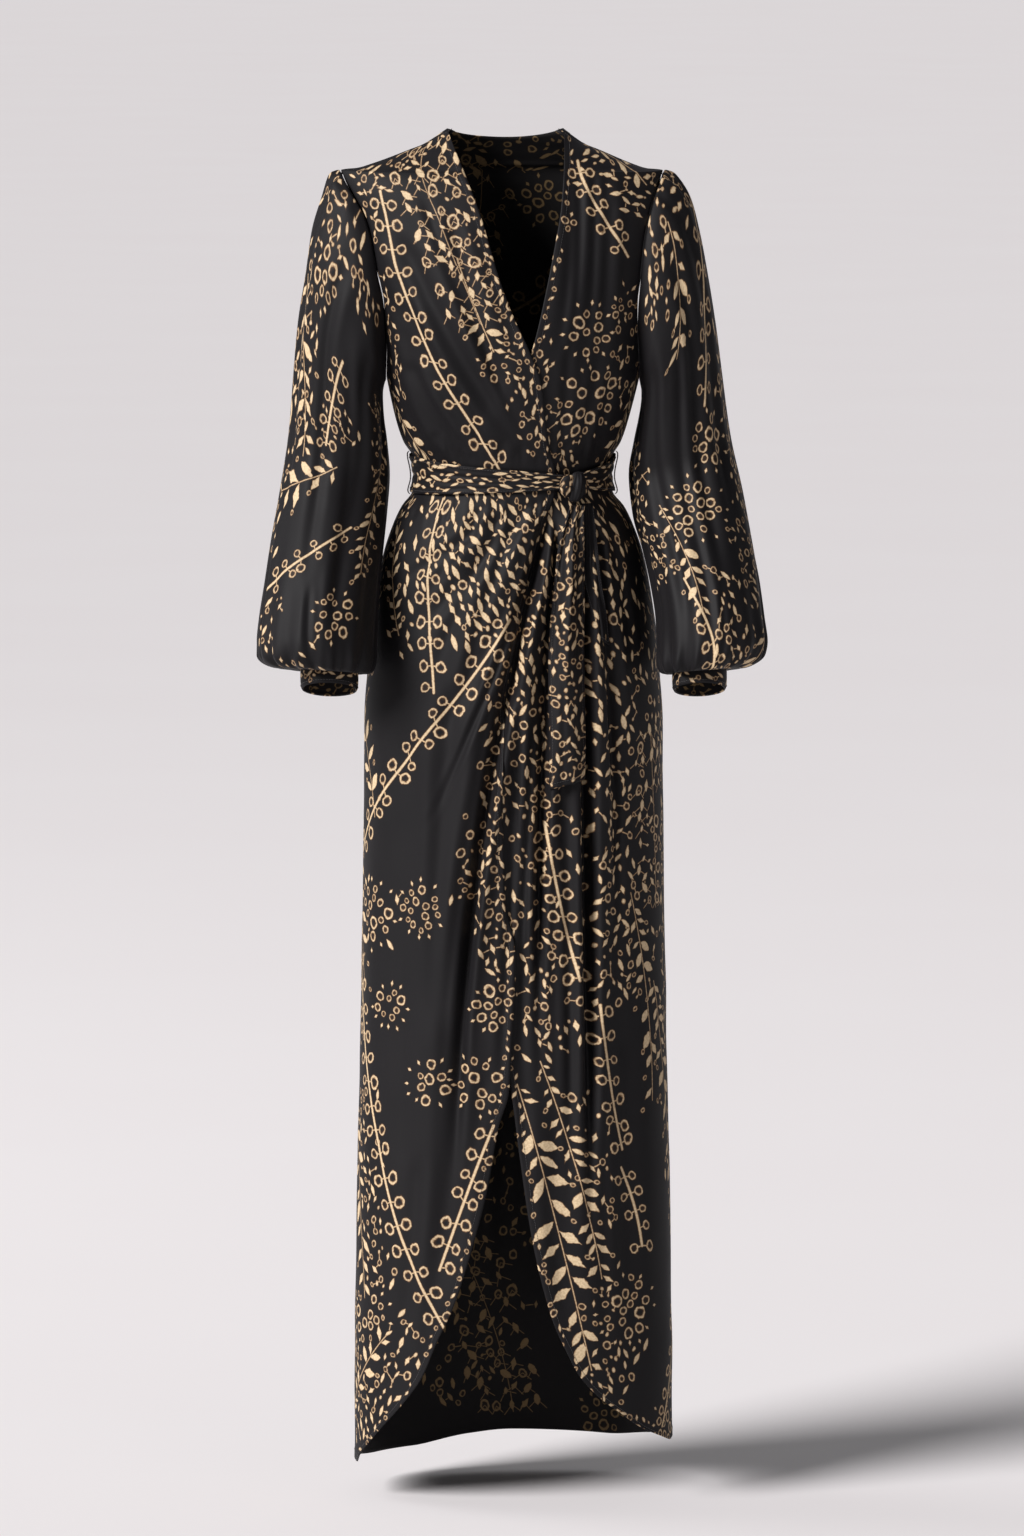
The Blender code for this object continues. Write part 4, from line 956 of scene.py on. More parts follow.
PRINTS = {
    "skirt_front_right": Layout(11, [
        Sprig([-4, -480, -68, -566, -136, -642, -222, -742]),
        Sprig([-118, -352, -112, -430, -102, -500, -94, -560], 24),
        Sprig([-226, -850, -186, -985, -138, -1130, -70, -1262], 27),
        Sprig([-22, -1030, -50, -1102, -82, -1190], 26),
        Spray([-178, -700, -198, -640, -232, -585], leaf=11),
        Spray([-236, -1020, -206, -1110, -186, -1230], 13, 11),
        Spray([-236, -1372, -196, -1318, -142, -1262], 12, 9.5),
        Spray([-236, -700, -224, -800, -200, -890], 13, 9.5),
        Spray([-146, -500, -170, -440, -190, -380], 12, 8),
        Drift([-78, -345, -70, -420, -58, -510], 74, 900, 6.2, 0.5, 0.9), Cluster(-110, -796, 24, 4.2),
        Cluster(-94, -985, 22, 4.6), Cluster(-18, -900, 24), Cluster(-40, -985, 26),
        Cluster(-176, -1250, 30, 5.6), Cluster(-212, -930, 18),
        Drift([40, -345, -20, -400, -28, -500], 50, 700),
        Drift([6, -500, -22, -640, -26, -780, -12, -860], 26, 420),
        Drift([-200, -350, -222, -470, -232, -560], 30, 240),
        Drift([-236, -1230, -210, -1300, -180, -1390], 34, 260), Drift([-40, -700, -52, -790], 20, 60),
        Cluster(-186, -806, 32, 5.4), Cluster(-150, -905, 20, 4.8),
        Drift([-204, -770, -186, -850], 50, 120),
        Drift([-206, -1000, -186, -1110, -160, -1220], 40, 320),
        Drift([-110, -1240, -150, -1330, -200, -1400], 30, 160),
    ]),
    "skirt_front_left": Layout(12, [
        Sprig([36, -700, 50, -776, 74, -872], 23), Sprig([98, -900, 108, -975, 126, -1060], 24, 5.2),
        Sprig([238, -1236, 214, -1312, 186, -1372], 24),
        Spray([4, -985, 40, -1110, 86, -1300], 12.5, 12.5),
        Spray([30, -960, 70, -1080, 98, -1200], 12, 9),
        Spray([178, -880, 204, -1000, 232, -1160], 12, 10.5),
        Spray([140, -780, 165, -900, 170, -1010], 12.5, 9),
        Sprig([124, -1080, 140, -1120, 150, -1168], 20, 4.6), Cluster(130, -1236, 30),
        Cluster(196, -1368, 22), Cluster(205, -730, 30),
        Drift([90, -345, 84, -470, 80, -600], 60, 700, 5.6, 0.3, 0.8),
        Net([176, -600, 184, -700, 186, -800], 60),
        Drift([10, -345, 20, -520, 20, -700, 40, -960], 44, 900),
        Drift([120, -350, 130, -560, 120, -760, 120, -900], 50, 900),
        Drift([210, -350, 225, -560, 225, -860, 236, -1100], 40, 800),
        Drift([60, -1000, 96, -1180, 120, -1330], 34, 300),
        Drift([30, -1180, 86, -1320, 160, -1390], 20, 160),
    ]),
    "skirt_back": Layout(13, [
        Sprig([-200, -420, -140, -520, -70, -610, 10, -680]),
        Sprig([60, -400, 74, -520, 120, -640], 25), Sprig([200, -740, 140, -880, 80, -1000, 60, -1120]),
        Sprig([-150, -860, -120, -980, -130, -1110], 26),
        Sprig([-20, -1150, -70, -1250, -150, -1330], 27),
        Spray([-60, -380, -66, -460, -100, -540], 12, 11),
        Spray([190, -400, 186, -500, 205, -620], 13, 11),
        Spray([-20, -760, 0, -880, -20, -1020], 13, 12),
        Spray([170, -1060, 150, -1190, 100, -1320], 13, 12),
        Spray([-215, -1180, -200, -1280, -210, -1390], 13, 10), Net([0, -350, 10, -440, 10, -540], 70),
        Net([-200, -620, -205, -720, -190, -800], 60), Net([60, -1200, 20, -1300, 0, -1390], 56),
        Cluster(150, -740, 30), Cluster(-80, -780, 28), Cluster(210, -980, 28), Cluster(-60, -1100, 26),
        Cluster(180, -1340, 30), Cluster(-100, -1390, 22), Cluster(130, -460, 24),
        Cluster(-200, -1020, 24), Drift([-160, -350, -30, -360, 110, -350, 200, -360], 50, 900),
        Drift([60, -700, 30, -900, 20, -1100, 60, -1380], 60, 500),
        Drift([-220, -500, -170, -700, -220, -900, -170, -1150], 50, 500),
        Drift([225, -560, 220, -800, 225, -1100, 220, -1390], 36, 500),
    ]),
    "bodice_front_right": Layout(21, [
        Sprig([-136, -20, -118, -130, -78, -222, -16, -322], 25.5, 5.2),
        Net([-92, 30, -80, -30, -56, -100, -34, -160], 52, 14.5),
        Spray([-56, -90, -40, -140, -20, -190], 11, 9.5),
        Spray([-186, -210, -160, -262, -128, -310], 12, 8), Cluster(-22, -205, 14, 4),
        Drift([-140, 20, -110, 30, -72, 36], 30, 160, 3.8),
        Drift([-46, 0, -30, -70, 0, -180, 30, -300], 20, 420, 4),
        Drift([-160, -320, -110, -326, -70, -328], 16, 160, 4),
        Drift([-150, -20, -150, -80], 14, 40, 3.8), Drift([-168, -16, -126, 2, -90, 16], 30, 260, 4),
        Drift([-150, -110, -140, -190, -150, -260], 12, 90, 3.8),
    ]),
    "bodice_front_left": Layout(22, [
        Sprig([82, 12, 100, -36, 134, -90], 21.5, 4.6), Spray([112, 26, 138, 10, 162, -14], 10, 8.5),
        Cluster(86, -168, 24, 5.4), Cluster(92, -246, 34, 5.6), Cluster(122, -146, 10, 3.6),
        Cluster(66, -52, 7, 3.8), Spray([176, -200, 160, -260, 150, -322], 11, 8),
        Drift([50, -240, 60, -290, 80, -322], 26, 160, 4),
        Drift([176, -220, 180, -270, 176, -326], 24, 200, 4),
        Drift([36, -160, 20, -230, 0, -300], 16, 140, 3.8),
        Drift([90, 18, 130, 4, 164, -30], 30, 220, 4.2, 0.4, 0.8),
        Drift([52, 20, 50, -30, 44, -90], 12, 60, 3.6),
        Drift([140, -120, 130, -190, 110, -270], 26, 90, 4),
    ]),
    "bodice_back": Layout(23, [
        Sprig([-140, -10, -90, -90, -20, -150, 60, -180], 25.5, 5.2),
        Sprig([130, -20, 118, -120, 130, -230], 24, 5), Net([20, 10, 30, -50, 50, -110], 56, 15.5),
        Spray([-110, -160, -100, -220, -60, -290], 12, 10),
        Spray([60, -230, 30, -270, -10, -310], 12, 10), Cluster(-40, -40, 22, 4.8),
        Cluster(-166, -160, 22, 4.8), Cluster(0, -220, 20, 4.8), Cluster(166, -290, 22, 4.8),
        Drift([-180, -300, -60, -315, 60, -320, 180, -300], 34, 500, 4),
        Drift([-130, 24, 0, 24, 130, 24], 24, 260, 3.8),
    ]),
    "sleeve_left": Layout(31, [
        Sprig([0, -30, 40, -90, 70, -170], 22, 4.6), Spray([60, -20, 80, -50, 110, -100], 10, 8.5),
        Cluster(66, -205, 24, 5.2), Cluster(104, -275, 32, 5.4), Cluster(20, -330, 20, 4.6),
        Spray([150, -260, 130, -330, 120, -400], 12, 8.5),
        Spray([10, -400, 30, -440, 36, -500], 12, 8.5), Sprig([140, -360, 110, -430, 104, -480], 22, 5),
        Drift([200, -160, 190, -260, 160, -360], 30, 260, 4.2),
        Drift([30, -390, 60, -300], 18, 60, 4.2), Drift([-10, -10, 60, -14, 130, -30], 22, 160, 4),
        Drift([10, -120, 20, -220, 10, -300], 30, 200, 4.6),
        Drift([90, -350, 80, -450, 60, -520], 36, 160, 4.6), *SLEEVE_BACK_PRINT,
    ]),
    "sleeve_right": Layout(32, [
        Sprig([112, -100, 100, -150, 92, -200], 22, 4.6), Spray([20, -80, 50, -150, 60, -220], 11, 9.5),
        Spray([110, -220, 70, -244, 20, -262], 10.5, 12.5),
        Sprig([140, -290, 90, -330, 30, -370], 21, 4.6), Cluster(62, -60, 18, 4.8),
        Cluster(130, -400, 22, 4.8), Spray([180, -200, 165, -280, 160, -350], 12, 8),
        Drift([60, -30, 40, -110, 50, -200], 32, 260, 4.2),
        Drift([170, -80, 180, -200, 160, -330], 22, 160, 4.2), Drift([50, -360, 30, -440], 24, 60, 4.2),
        Drift([-10, -10, 60, -14, 130, -30], 22, 160, 4),
        Drift([0, -60, 10, -200, 0, -330], 34, 320, 4.6), Drift([100, -150, 110, -190], 24, 90, 4.2),
        Drift([80, -440, 110, -500], 30, 90, 4.4), *SLEEVE_BACK_PRINT,
    ]),
    "cuff_right": Layout(40, [Drift([-100, -8, 100, -18], 18, 160, 4)]),
    "cuff_left": Layout(42, [Drift([-100, -8, 100, -18], 18, 160, 4)]),
    "belt": Layout(51, [Drift([-360, 0, 360, 0], 34, 2600, 5, 0, 0.8)]),
    "belt_tail_long": Layout(52, [Drift([0, -350, 0, -500, 0, -665], 34, 1500, 4.4)], 1.2),
    "belt_tail_short": Layout(53, [
        Dab(-12, -470, 0.4, 4, 2.2, LEAF), Dab(8, -500, 1.0, 3.6, 3, OVAL, BEAD_HOLE),
    ]),
    "knot_wrap": Layout(61),
    "knot_lobe": Layout(62, [Drift([-30, 0, 30, 0], 50, 500, 3.4)], 1.0),
    "chain": Layout(71),
}


def print_of(piece: str) -> PrintSheet:
    """Lays out the print of a piece."""
    layout = PRINTS[piece]
    sheet = PrintSheet(layout.seed, layout.gap / 1000)
    for motif in layout.motifs:
        motif.lay(sheet)
    return sheet


def mark_level(marks: Grid, at: Grid) -> tuple[Grid, Grid, Grid]:
    """Places in the marks' own frames, as shares of their sizes, and the outline's
    level there, which is 1 on it."""
    du, dv = at[..., 0] - marks[..., 0], at[..., 1] - marks[..., 1]
    cos, sin = np.cos(marks[..., 2]), np.sin(marks[..., 2])
    x, y = (du * cos + dv * sin) / marks[..., 3], (dv * cos - du * sin) / marks[..., 4]
    level = sum(np.where(marks[..., k] == 2, at * at, np.abs(at)) for k, at in ((5, x), (6, y)))
    return x, y, level


def stem_place(stems: Grid, at: Grid) -> tuple[Grid, Grid, Grid, Grid]:
    """Places across and along stems from their middles, half lengths and half
    widths, in millimetres."""
    way = stems[..., 2:4] - stems[..., 0:2]
    long = np.maximum(np.linalg.norm(way, axis=-1), 1e-9)
    du = at[..., 0] - (stems[..., 0] + stems[..., 2]) / 2
    dv = at[..., 1] - (stems[..., 1] + stems[..., 3]) / 2
    along = (du * way[..., 0] + dv * way[..., 1]) / long
    across = (dv * way[..., 0] - du * way[..., 1]) / long
    half = np.broadcast_to(long / 2, along.shape)
    wide = np.broadcast_to(stems[..., 4], along.shape)
    return across / MM, along / MM, half / MM, wide / MM


FAR_SHARE = 6.0  # past this, a place is stored as clear of a mark


def rows_normals(points: Grid, closed: bool) -> Grid:
    """Directions square to a grid of points, by its rows and columns."""
    down = np.gradient(points, axis=0)
    if closed:
        over = np.roll(points, -1, axis=1) - np.roll(points, 1, axis=1)
    else:
        over = np.gradient(points, axis=1)
    return unit(np.cross(over, down))


@dataclass
class Shell:
    """A thin cloth on a grid of points: outer face, inner face and rims.

    The faces carry their place on the flat cut and the marks that lie nearest."""

    name: str
    points: Grid
    flat: Grid
    outward: Grid
    printed: PrintSheet
    materials: Cloth
    wall: float | Grid = CREPE
    closed: bool = False

    def corners(self, count: int, rows: int, columns: int) -> tuple[Grid, Grid]:
        """Vertex and flat-point numbers of every cell's corners on one face."""
        span = columns if self.closed else columns - 1
        i, j = np.meshgrid(np.arange(rows - 1), np.arange(span), indexing="ij")
        i, j = i.ravel(), j.ravel()
        after = (j + 1) % columns
        cells = np.stack([i * columns + j, (i + 1) * columns + j,
                          (i + 1) * columns + after, i * columns + after], axis=1)
        flat_wide = self.flat.shape[1]
        places = np.stack([i * flat_wide + j, (i + 1) * flat_wide + j,
                           (i + 1) * flat_wide + j + 1, i * flat_wide + j + 1], axis=1)
        return cells + count, places

    def rims(self, rows: int, columns: int) -> tuple[list[Grid], list[Grid]]:
        """Cells that join the outer face's free edges to the inner face's."""
        total = rows * columns
        flat_wide = self.flat.shape[1]
        edges = []
        top = np.arange(columns if self.closed else columns - 1)
        for row, way in ((0, -1), (rows - 1, 1)):
            first, second = row * columns + top, row * columns + (top + 1) % columns
            spot = row * flat_wide + top
            edges.append((first, second, spot, spot + 1, way))
        if not self.closed:
            for col, way in ((0, 1), (columns - 1, -1)):
                first = np.arange(rows - 1) * columns + col
                spot = np.arange(rows - 1) * flat_wide + (0 if col == 0 else flat_wide - 1)
                edges.append((first, first + columns, spot, spot + flat_wide, way))
        cells, spots = [], []
        for first, second, spot, next_spot, way in edges:
            cell = np.stack([first, first + total, second + total, second], axis=1)
            place = np.stack([spot, spot, next_spot, next_spot], axis=1)
            cells.append(cell[:, ::way])
            spots.append(place[:, ::way])
        return cells, spots

    def build(self) -> Piece:
        """Makes the shell's object, with its print."""
        rows, columns = self.points.shape[:2]
        normal = rows_normals(self.points, self.closed)
        sign = np.sign(np.sum(normal * self.outward))
        normal = normal * sign
        wall = self.wall if isinstance(self.wall, float) else self.wall[..., None]
        inner = self.points - normal * wall
        vertices = np.concatenate([self.points.reshape(-1, 3), inner.reshape(-1, 3)])
        face, face_flat = self.corners(0, rows, columns)
        back, back_flat = self.corners(rows * columns, rows, columns)
        rim, rim_flat = self.rims(rows, columns)
        cells = np.concatenate([face, back[:, ::-1], *rim])
        places = np.concatenate([face_flat, back_flat[:, ::-1], *rim_flat])
        if sign < 0:
            cells, places = cells[:, ::-1], places[:, ::-1]
        slots = np.zeros(len(cells), np.int32)
        slots[len(face):2 * len(face)] = min(1, len(self.materials) - 1)
        mesh = bpy.data.meshes.new(self.name)
        mesh.vertices.add(len(vertices))
        mesh.vertices.foreach_set("co", vertices.astype(np.float32).ravel())
        mesh.loops.add(cells.size)
        mesh.loops.foreach_set("vertex_index", cells.astype(np.int32).ravel())
        mesh.polygons.add(len(cells))
        mesh.polygons.foreach_set("loop_start", np.arange(0, cells.size, 4, dtype=np.int32))
        mesh.polygons.foreach_set("material_index", slots)
        mesh.update(calc_edges=True)
        mesh.shade_smooth()
        self.store_print(mesh, self.flat.reshape(-1, 2)[places])
        for material in self.materials:
            mesh.materials.append(material)
        return link_object(self.name, mesh)

    def store_print(self, mesh: bpy.types.Mesh, flat: Grid) -> None:
        """Writes each corner's place on the cut and in its two nearest marks and stems."""
        layer = mesh.uv_layers.new(name="cut")
        layer.data.foreach_set("uv", flat.astype(np.float32).ravel())
        marks, stems = self.printed.nearest(flat.mean(axis=1))
        for k, name in enumerate("ab"):
            mark = marks[:, k][:, None, :]
            x, y, _ = mark_level(mark, flat)
            steep, hole, *powers = (np.broadcast_to(mark[..., c], x.shape) for c in (8, 7, 5, 6))
            x, y = (np.clip(share, -FAR_SHARE, FAR_SHARE) for share in (x, y))
            put_colour(mesh, f"mark_{name}", (x, y, steep, hole))
            put_colour(mesh, f"outline_{name}", (*powers, *powers))
            put_colour(mesh, f"stem_{name}", stem_place(stems[:, k][:, None, :], flat))


def put_colour(mesh: bpy.types.Mesh, name: str, channels: Sequence[Grid]) -> None:
    """Stores four numbers for every face corner."""
    layer = mesh.attributes.new(name, "FLOAT_COLOR", "CORNER")
    layer.data.foreach_set("color", np.stack(channels, axis=-1).astype(np.float32).ravel())


def linear(colour: str) -> tuple[float, float, float, float]:
    """A colour in sRGB hex, such as "#1f1d20", as linear light with full alpha."""
    parts = [int(colour[i:i + 2], 16) / 255 for i in (1, 3, 5)]
    return (*(p / 12.92 if p <= 0.04045 else ((p + 0.055) / 1.055) ** 2.4 for p in parts), 1.0)


def add_node(tree: Tree, kind: str, links: dict | None = None,
             **settings: object) -> bpy.types.Node:
    """Adds a node, sets it and joins what feeds it.

    Args:
        tree: The node tree.
        kind: The node's type.
        links: Inputs by name or number, each a node or socket to join or a value to set.
        settings: The node's own properties.

    Returns:
        The node.
    """
    made = tree.nodes.new(kind)
    for name, value in settings.items():
        setattr(made, name, value)
    for key, value in (links or {}).items():
        if isinstance(value, bpy.types.Node):
            value = value.outputs[0]
        if isinstance(value, bpy.types.NodeSocket):
            tree.links.new(value, made.inputs[key])
        else:
            made.inputs[key].default_value = value
    return made


def new_material(name: str) -> tuple[bpy.types.Material, Tree]:
    """A material with an empty tree."""
    material = bpy.data.materials.new(name)
    material.use_nodes = True
    material.node_tree.nodes.clear()
    return material, material.node_tree


SUM, MIX, REMAP = "ShaderNodeMath", "ShaderNodeMix", "ShaderNodeMapRange"
NOISE, SPLIT, GIVEN = "ShaderNodeTexNoise", "ShaderNodeSeparateColor", "ShaderNodeAttribute"
GLOSS, OUTPUT = "ShaderNodeBsdfPrincipled", "ShaderNodeOutputMaterial"

# Each sum of the print's tree: its result's name, what it does, and what it takes
PRINT_SUMS = (
    ("bent_u", "ADD", "u", "sway_u"),
    ("bent_v", "ADD", "v", "sway_v"),
    ("size_u", "ABSOLUTE", "bent_u"),
    ("size_v", "ABSOLUTE", "bent_v"),
    ("share_u", "POWER", "size_u", "power_u"),
    ("share_v", "POWER", "size_v", "power_v"),
    ("level", "ADD", "share_u", "share_v"),
    ("outside", "SUBTRACT", "level", 1.0),
    ("in_hole", "SUBTRACT", "hole", "level"),
    ("rim", "MAXIMUM", "outside", "in_hole"),
    ("to_mark", "MULTIPLY_ADD", "rim", "steep", "edge"),
    ("from_middle", "ABSOLUTE", "along"),
    ("past_end", "SUBTRACT", "from_middle", "half"),
    ("beyond", "MAXIMUM", "past_end", 0.0),
    ("across_squared", "MULTIPLY", "across", "across"),
    ("reach_squared", "MULTIPLY_ADD", "beyond", "beyond", "across_squared"),
    ("reach", "SQRT", "reach_squared"),
    ("line", "SUBTRACT", "reach", "wide"),
    ("to_stem", "MULTIPLY_ADD", "edge", 0.4, "line"),
    ("nearest", "MINIMUM", "nearest", "to_mark"),
    ("nearest", "MINIMUM", "nearest", "to_stem"),
)


@dataclass(frozen=True)
class PrintedCrepe:
    """Viscose crepe: fine yarn, tightly twisted, woven plain and piece dyed near
    black, then printed in one pale ochre whose edges bled into a brown halo. It
    gives a soft, slightly grainy face with a low wide sheen and no gloss."""

    name: str
    ground: str = "#0e0d0f"
    ground_worn: str = "#171517"
    ink: str = "#d2bb98"
    ink_thin: str = "#846648"
    halo: str = "#33241a"
    sheen: str = "#d8d4de"
    ink_share: float = 1.0
    bleed_mm: float = 0.75
    roughness: float = 0.62
    thread_mm: float = 0.9  # yarn is nearer 0.3 mm apart, too fine to show at this size

    def print_distance(self, tree: Tree, cut: bpy.types.Node) -> bpy.types.Node:
        """Adds the nodes of the distance to the print.

        Args:
            tree: The material's tree.
            cut: The cloth's place on its cut.

        Returns:
            The node whose value is millimetres from the nearest printed edge, below 0 inside it.
        """
        wobble = add_node(tree, NOISE, {"Vector": cut, "Scale": 270.0, "Detail": 2.0})
        bend = add_node(tree, NOISE, {"Vector": cut, "Scale": 150.0, "Detail": 1.0})
        bends = add_node(tree, SPLIT, {0: bend.outputs["Color"]})
        uneven = {"edge": (wobble, 1.4, -0.72), "sway_u": (bends.outputs[0], 0.5, -0.25),
                  "sway_v": (bends.outputs[1], 0.5, -0.25)}
        known: dict[str, object] = {"nearest": 9.0}
        for name, (noise, strength, shift) in uneven.items():
            links = {0: noise, 1: strength, 2: shift}
            known[name] = add_node(tree, SUM, links, operation="MULTIPLY_ADD")
        stored = {"mark": ("u", "v", "steep", "hole"), "outline": ("power_u", "power_v"),
                  "stem": ("across", "along", "half", "wide")}
        for which in "ab":
            for attribute, names in stored.items():
                read = add_node(tree, GIVEN, attribute_name=f"{attribute}_{which}")
                split = add_node(tree, SPLIT, {0: read})
                known.update(zip(names, (*split.outputs, read.outputs["Alpha"])))
            for name, operation, *inputs in PRINT_SUMS:
                links = {k: known.get(given, given) for k, given in enumerate(inputs)}
                known[name] = add_node(tree, SUM, links, operation=operation)
        return known["nearest"]

    def weave(self, tree: Tree, cut: bpy.types.Node) -> bpy.types.Node:
        """Adds the bump of crossing yarns and crepe grain, and gives its node."""
        split = add_node(tree, "ShaderNodeSeparateXYZ", {0: cut})
        turns = 2 * math.pi / (self.thread_mm * MM)
        yarns = []
        for k in (0, 1):
            phase = add_node(tree, SUM, {0: split.outputs[k], 1: turns}, operation="MULTIPLY")
            yarns.append(add_node(tree, SUM, {0: phase}, operation="SINE"))
        crossed = add_node(tree, SUM, dict(enumerate(yarns)), operation="MULTIPLY")
        grain = add_node(tree, NOISE, {"Vector": cut, "Scale": 900.0, "Detail": 2.0})
        height = add_node(tree, SUM, {0: crossed, 1: 0.35, 2: grain}, operation="MULTIPLY_ADD")
        return add_node(tree, "ShaderNodeBump", {"Strength": 0.22, "Distance": 0.00012, "Height": height})

    def material(self) -> bpy.types.Material:
        """Builds the finish, with its print read from the cloth's own attributes."""
        material, tree = new_material(self.name)
        cut = add_node(tree, "ShaderNodeUVMap", uv_map="cut")
        away = self.print_distance(tree, cut)
        inked = add_node(tree, REMAP, {0: away, 1: -0.22, 2: 0.22, 3: self.ink_share, 4: 0.0},
                         interpolation_type="SMOOTHSTEP")
        bled = add_node(tree, REMAP, {0: away, 1: 0.1, 2: self.bleed_mm + 0.4, 3: self.ink_share, 4: 0.0},
                        interpolation_type="SMOOTHSTEP")
        patchy = add_node(tree, NOISE, {"Vector": cut, "Scale": 9.0, "Detail": 3.0})
        starved = add_node(tree, NOISE, {"Vector": cut, "Scale": 420.0, "Detail": 1.0})
        rim = add_node(tree, REMAP, {0: away, 1: -0.95, 2: -0.05, 3: -0.35, 4: 0.45})
        thin = add_node(tree, SUM, {0: starved, 1: rim}, operation="ADD", use_clamp=True)
        ground = add_node(tree, MIX, {0: patchy, 6: linear(self.ground), 7: linear(self.ground_worn)},
                          data_type="RGBA").outputs[2]
        ink = add_node(tree, MIX, {0: thin, 6: linear(self.ink), 7: linear(self.ink_thin)},
                       data_type="RGBA").outputs[2]
        haloed = add_node(tree, MIX, {0: bled, 6: ground, 7: linear(self.halo)}, data_type="RGBA").outputs[2]
        colour = add_node(tree, MIX, {0: inked, 6: haloed, 7: ink}, data_type="RGBA").outputs[2]
        soft = add_node(tree, REMAP, {0: patchy, 3: self.roughness - 0.06, 4: self.roughness + 0.06})
        shader = add_node(tree, GLOSS, {
            "Base Color": colour, "Roughness": soft, "Normal": self.weave(tree, cut), "Metallic": 0.0,
            "IOR": 1.46, "Specular IOR Level": 0.2, "Sheen Weight": 0.035, "Sheen Roughness": 0.4,
            "Sheen Tint": linear(self.sheen)})
        add_node(tree, OUTPUT, {0: shader})
        return material


@dataclass(frozen=True)
class SewingThread:
    """Spun polyester sewing thread, two-ply and dyed black: a faint twist shows
    as fine slanting ridges, with a dull lustre; the ridges' crests are coloured
    lighter, a painted highlight."""

    name: str = "black_thread"
    colour: str = "#1b191b"
    # the lighter colour of the ridges' crests: a painted highlight on the twist
    light: str = "#3a3637"

    def material(self) -> bpy.types.Material:
        """Builds the finish, its twist in object space."""
        material, tree = new_material(self.name)
        place = add_node(tree, "ShaderNodeTexCoord").outputs["Object"]
        ply = add_node(tree, "ShaderNodeTexWave", {"Vector": place, "Scale": 700.0, "Distortion": 1.5},
                       bands_direction="DIAGONAL").outputs["Fac"]
        # the twist's crests, where the bump rises, take the lighter colour: a painted highlight
        colour = add_node(tree, MIX, {0: ply, 6: linear(self.colour), 7: linear(self.light)},
                          data_type="RGBA").outputs[2]
        bump = add_node(tree, "ShaderNodeBump", {"Strength": 0.3, "Distance": 0.0001, "Height": ply})
        shader = add_node(tree, GLOSS, {
            "Base Color": colour, "Roughness": 0.55, "Normal": bump, "IOR": 1.5, "Sheen Weight": 0.15})
        add_node(tree, OUTPUT, {0: shader})
        return material


@dataclass(frozen=True)
class StudioPaper:
    """Matt seamless paper, rolled and unglazed: an even pale grey without gloss."""

    name: str = "studio_paper"
    colour: str = "#ebe7e8"
    mottled: str = "#edeaeb"

    def material(self) -> bpy.types.Material:
        """Builds the finish with a barely visible mottle."""
        material, tree = new_material(self.name)
        place = add_node(tree, "ShaderNodeTexCoord").outputs["Object"]
        mottle = add_node(tree, NOISE, {"Vector": place, "Scale": 1.5, "Detail": 2.0})
        colour = add_node(tree, MIX, {0: mottle, 6: linear(self.colour), 7: linear(self.mottled)},
                          data_type="RGBA").outputs[2]
        shader = add_node(tree, GLOSS, {"Base Color": colour, "Roughness": 0.95, "Specular IOR Level": 0.1})
        add_node(tree, OUTPUT, {0: shader})
        return material


@dataclass
class Wardrobe:
    """The finishes that the pieces share."""

    cloth: list[bpy.types.Material] = field(init=False)  # face and back
    thread: bpy.types.Material = field(init=False)

    def __post_init__(self) -> None:
        """Builds each finish once."""
        face = PrintedCrepe("printed_crepe_face")
        back = PrintedCrepe("printed_crepe_back", ground="#121112", ground_worn="#191718", ink="#8b7350",
                            ink_thin="#6e5a3e", halo="#261c14", ink_share=0.7, roughness=0.72)
        self.cloth = [face.material(), back.material()]
        self.thread = SewingThread().material()


def fullness(z: Grid, flat_quarter: float, high: float) -> Grid:
    """How much wider the cut is than the cloth hangs: more at the gathered waist.

    Args:
        z: Heights, one for each row.
        flat_quarter: The cut's width from centre to side seam.
        high: The highest share allowed.

    Returns:
        One share for each row, at least 1.
    """
    side = Form.arc(z[:, None], np.full((len(z), 1), QUARTER), 0.0)[:, 0]
    return np.clip(flat_quarter / np.maximum(side, 0.15), 1.0, high)


def stand_for(piece: Piece, node: str) -> None:
    """Rides a piece on the dress, in its node's place, and hides the node's solid."""
    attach(piece, "root")
    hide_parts(node)


class Cut(NamedTuple):
    """What shows of a cloth piece, laid flat: width, length and, if not a plain
    rectangle, its area, in metres; and how the piece is held."""

    node: str
    width: float
    length: float
    area: float | None = None
    held: str = "gathered"

    def state(self, piece: Piece, with_pieces: Sequence[Piece] = ()) -> None:
        """Puts the piece in its node's place and logs its faces and its area of cloth.

        Args:
            piece: The cloth.
            with_pieces: Pieces that are cut from the same length; not used.
        """
        stand_for(piece, self.node)
        cloth = sum(face.area for face in piece.data.polygons) / 2
        LOG.info("%s: %d faces, %.3f m2 of cloth", piece.name, len(piece.data.polygons), cloth)


BODICE_CUTS = (
    Cut("bodice_back", 0.42, 0.38),
    Cut("bodice_front_right", 0.30, 0.41, 0.085),
    Cut("bodice_front_left", 0.30, 0.41, 0.072),
)
SKIRT_CUTS = (
    Cut("skirt_back", 0.60, 1.11),
    Cut("skirt_front_right", 0.34, 1.10, 0.27),
    Cut("skirt_front_left", 0.34, 1.09, 0.31),
)
BELT_CUT = Cut("belt", 0.68, BELT_HEIGHT, held="stretched")
TAIL_CUTS = (
    Cut("belt_tail_long", 0.040, 0.310, held="hung"),
    Cut("belt_tail_short", 0.018, 0.165, held="hung"),
)
SLEEVE_SIZE, CUFF_SIZE = (0.45, 0.60), (0.20, 0.027)


def turned_hem(distance: Grid, deep: float = 0.0065, thick: float = 0.00035) -> Grid:
    """How much the narrow turned hem adds to the face, by the distance to the edge."""
    return thick * (1 - ease(deep - 0.0012, deep + 0.0004, distance))


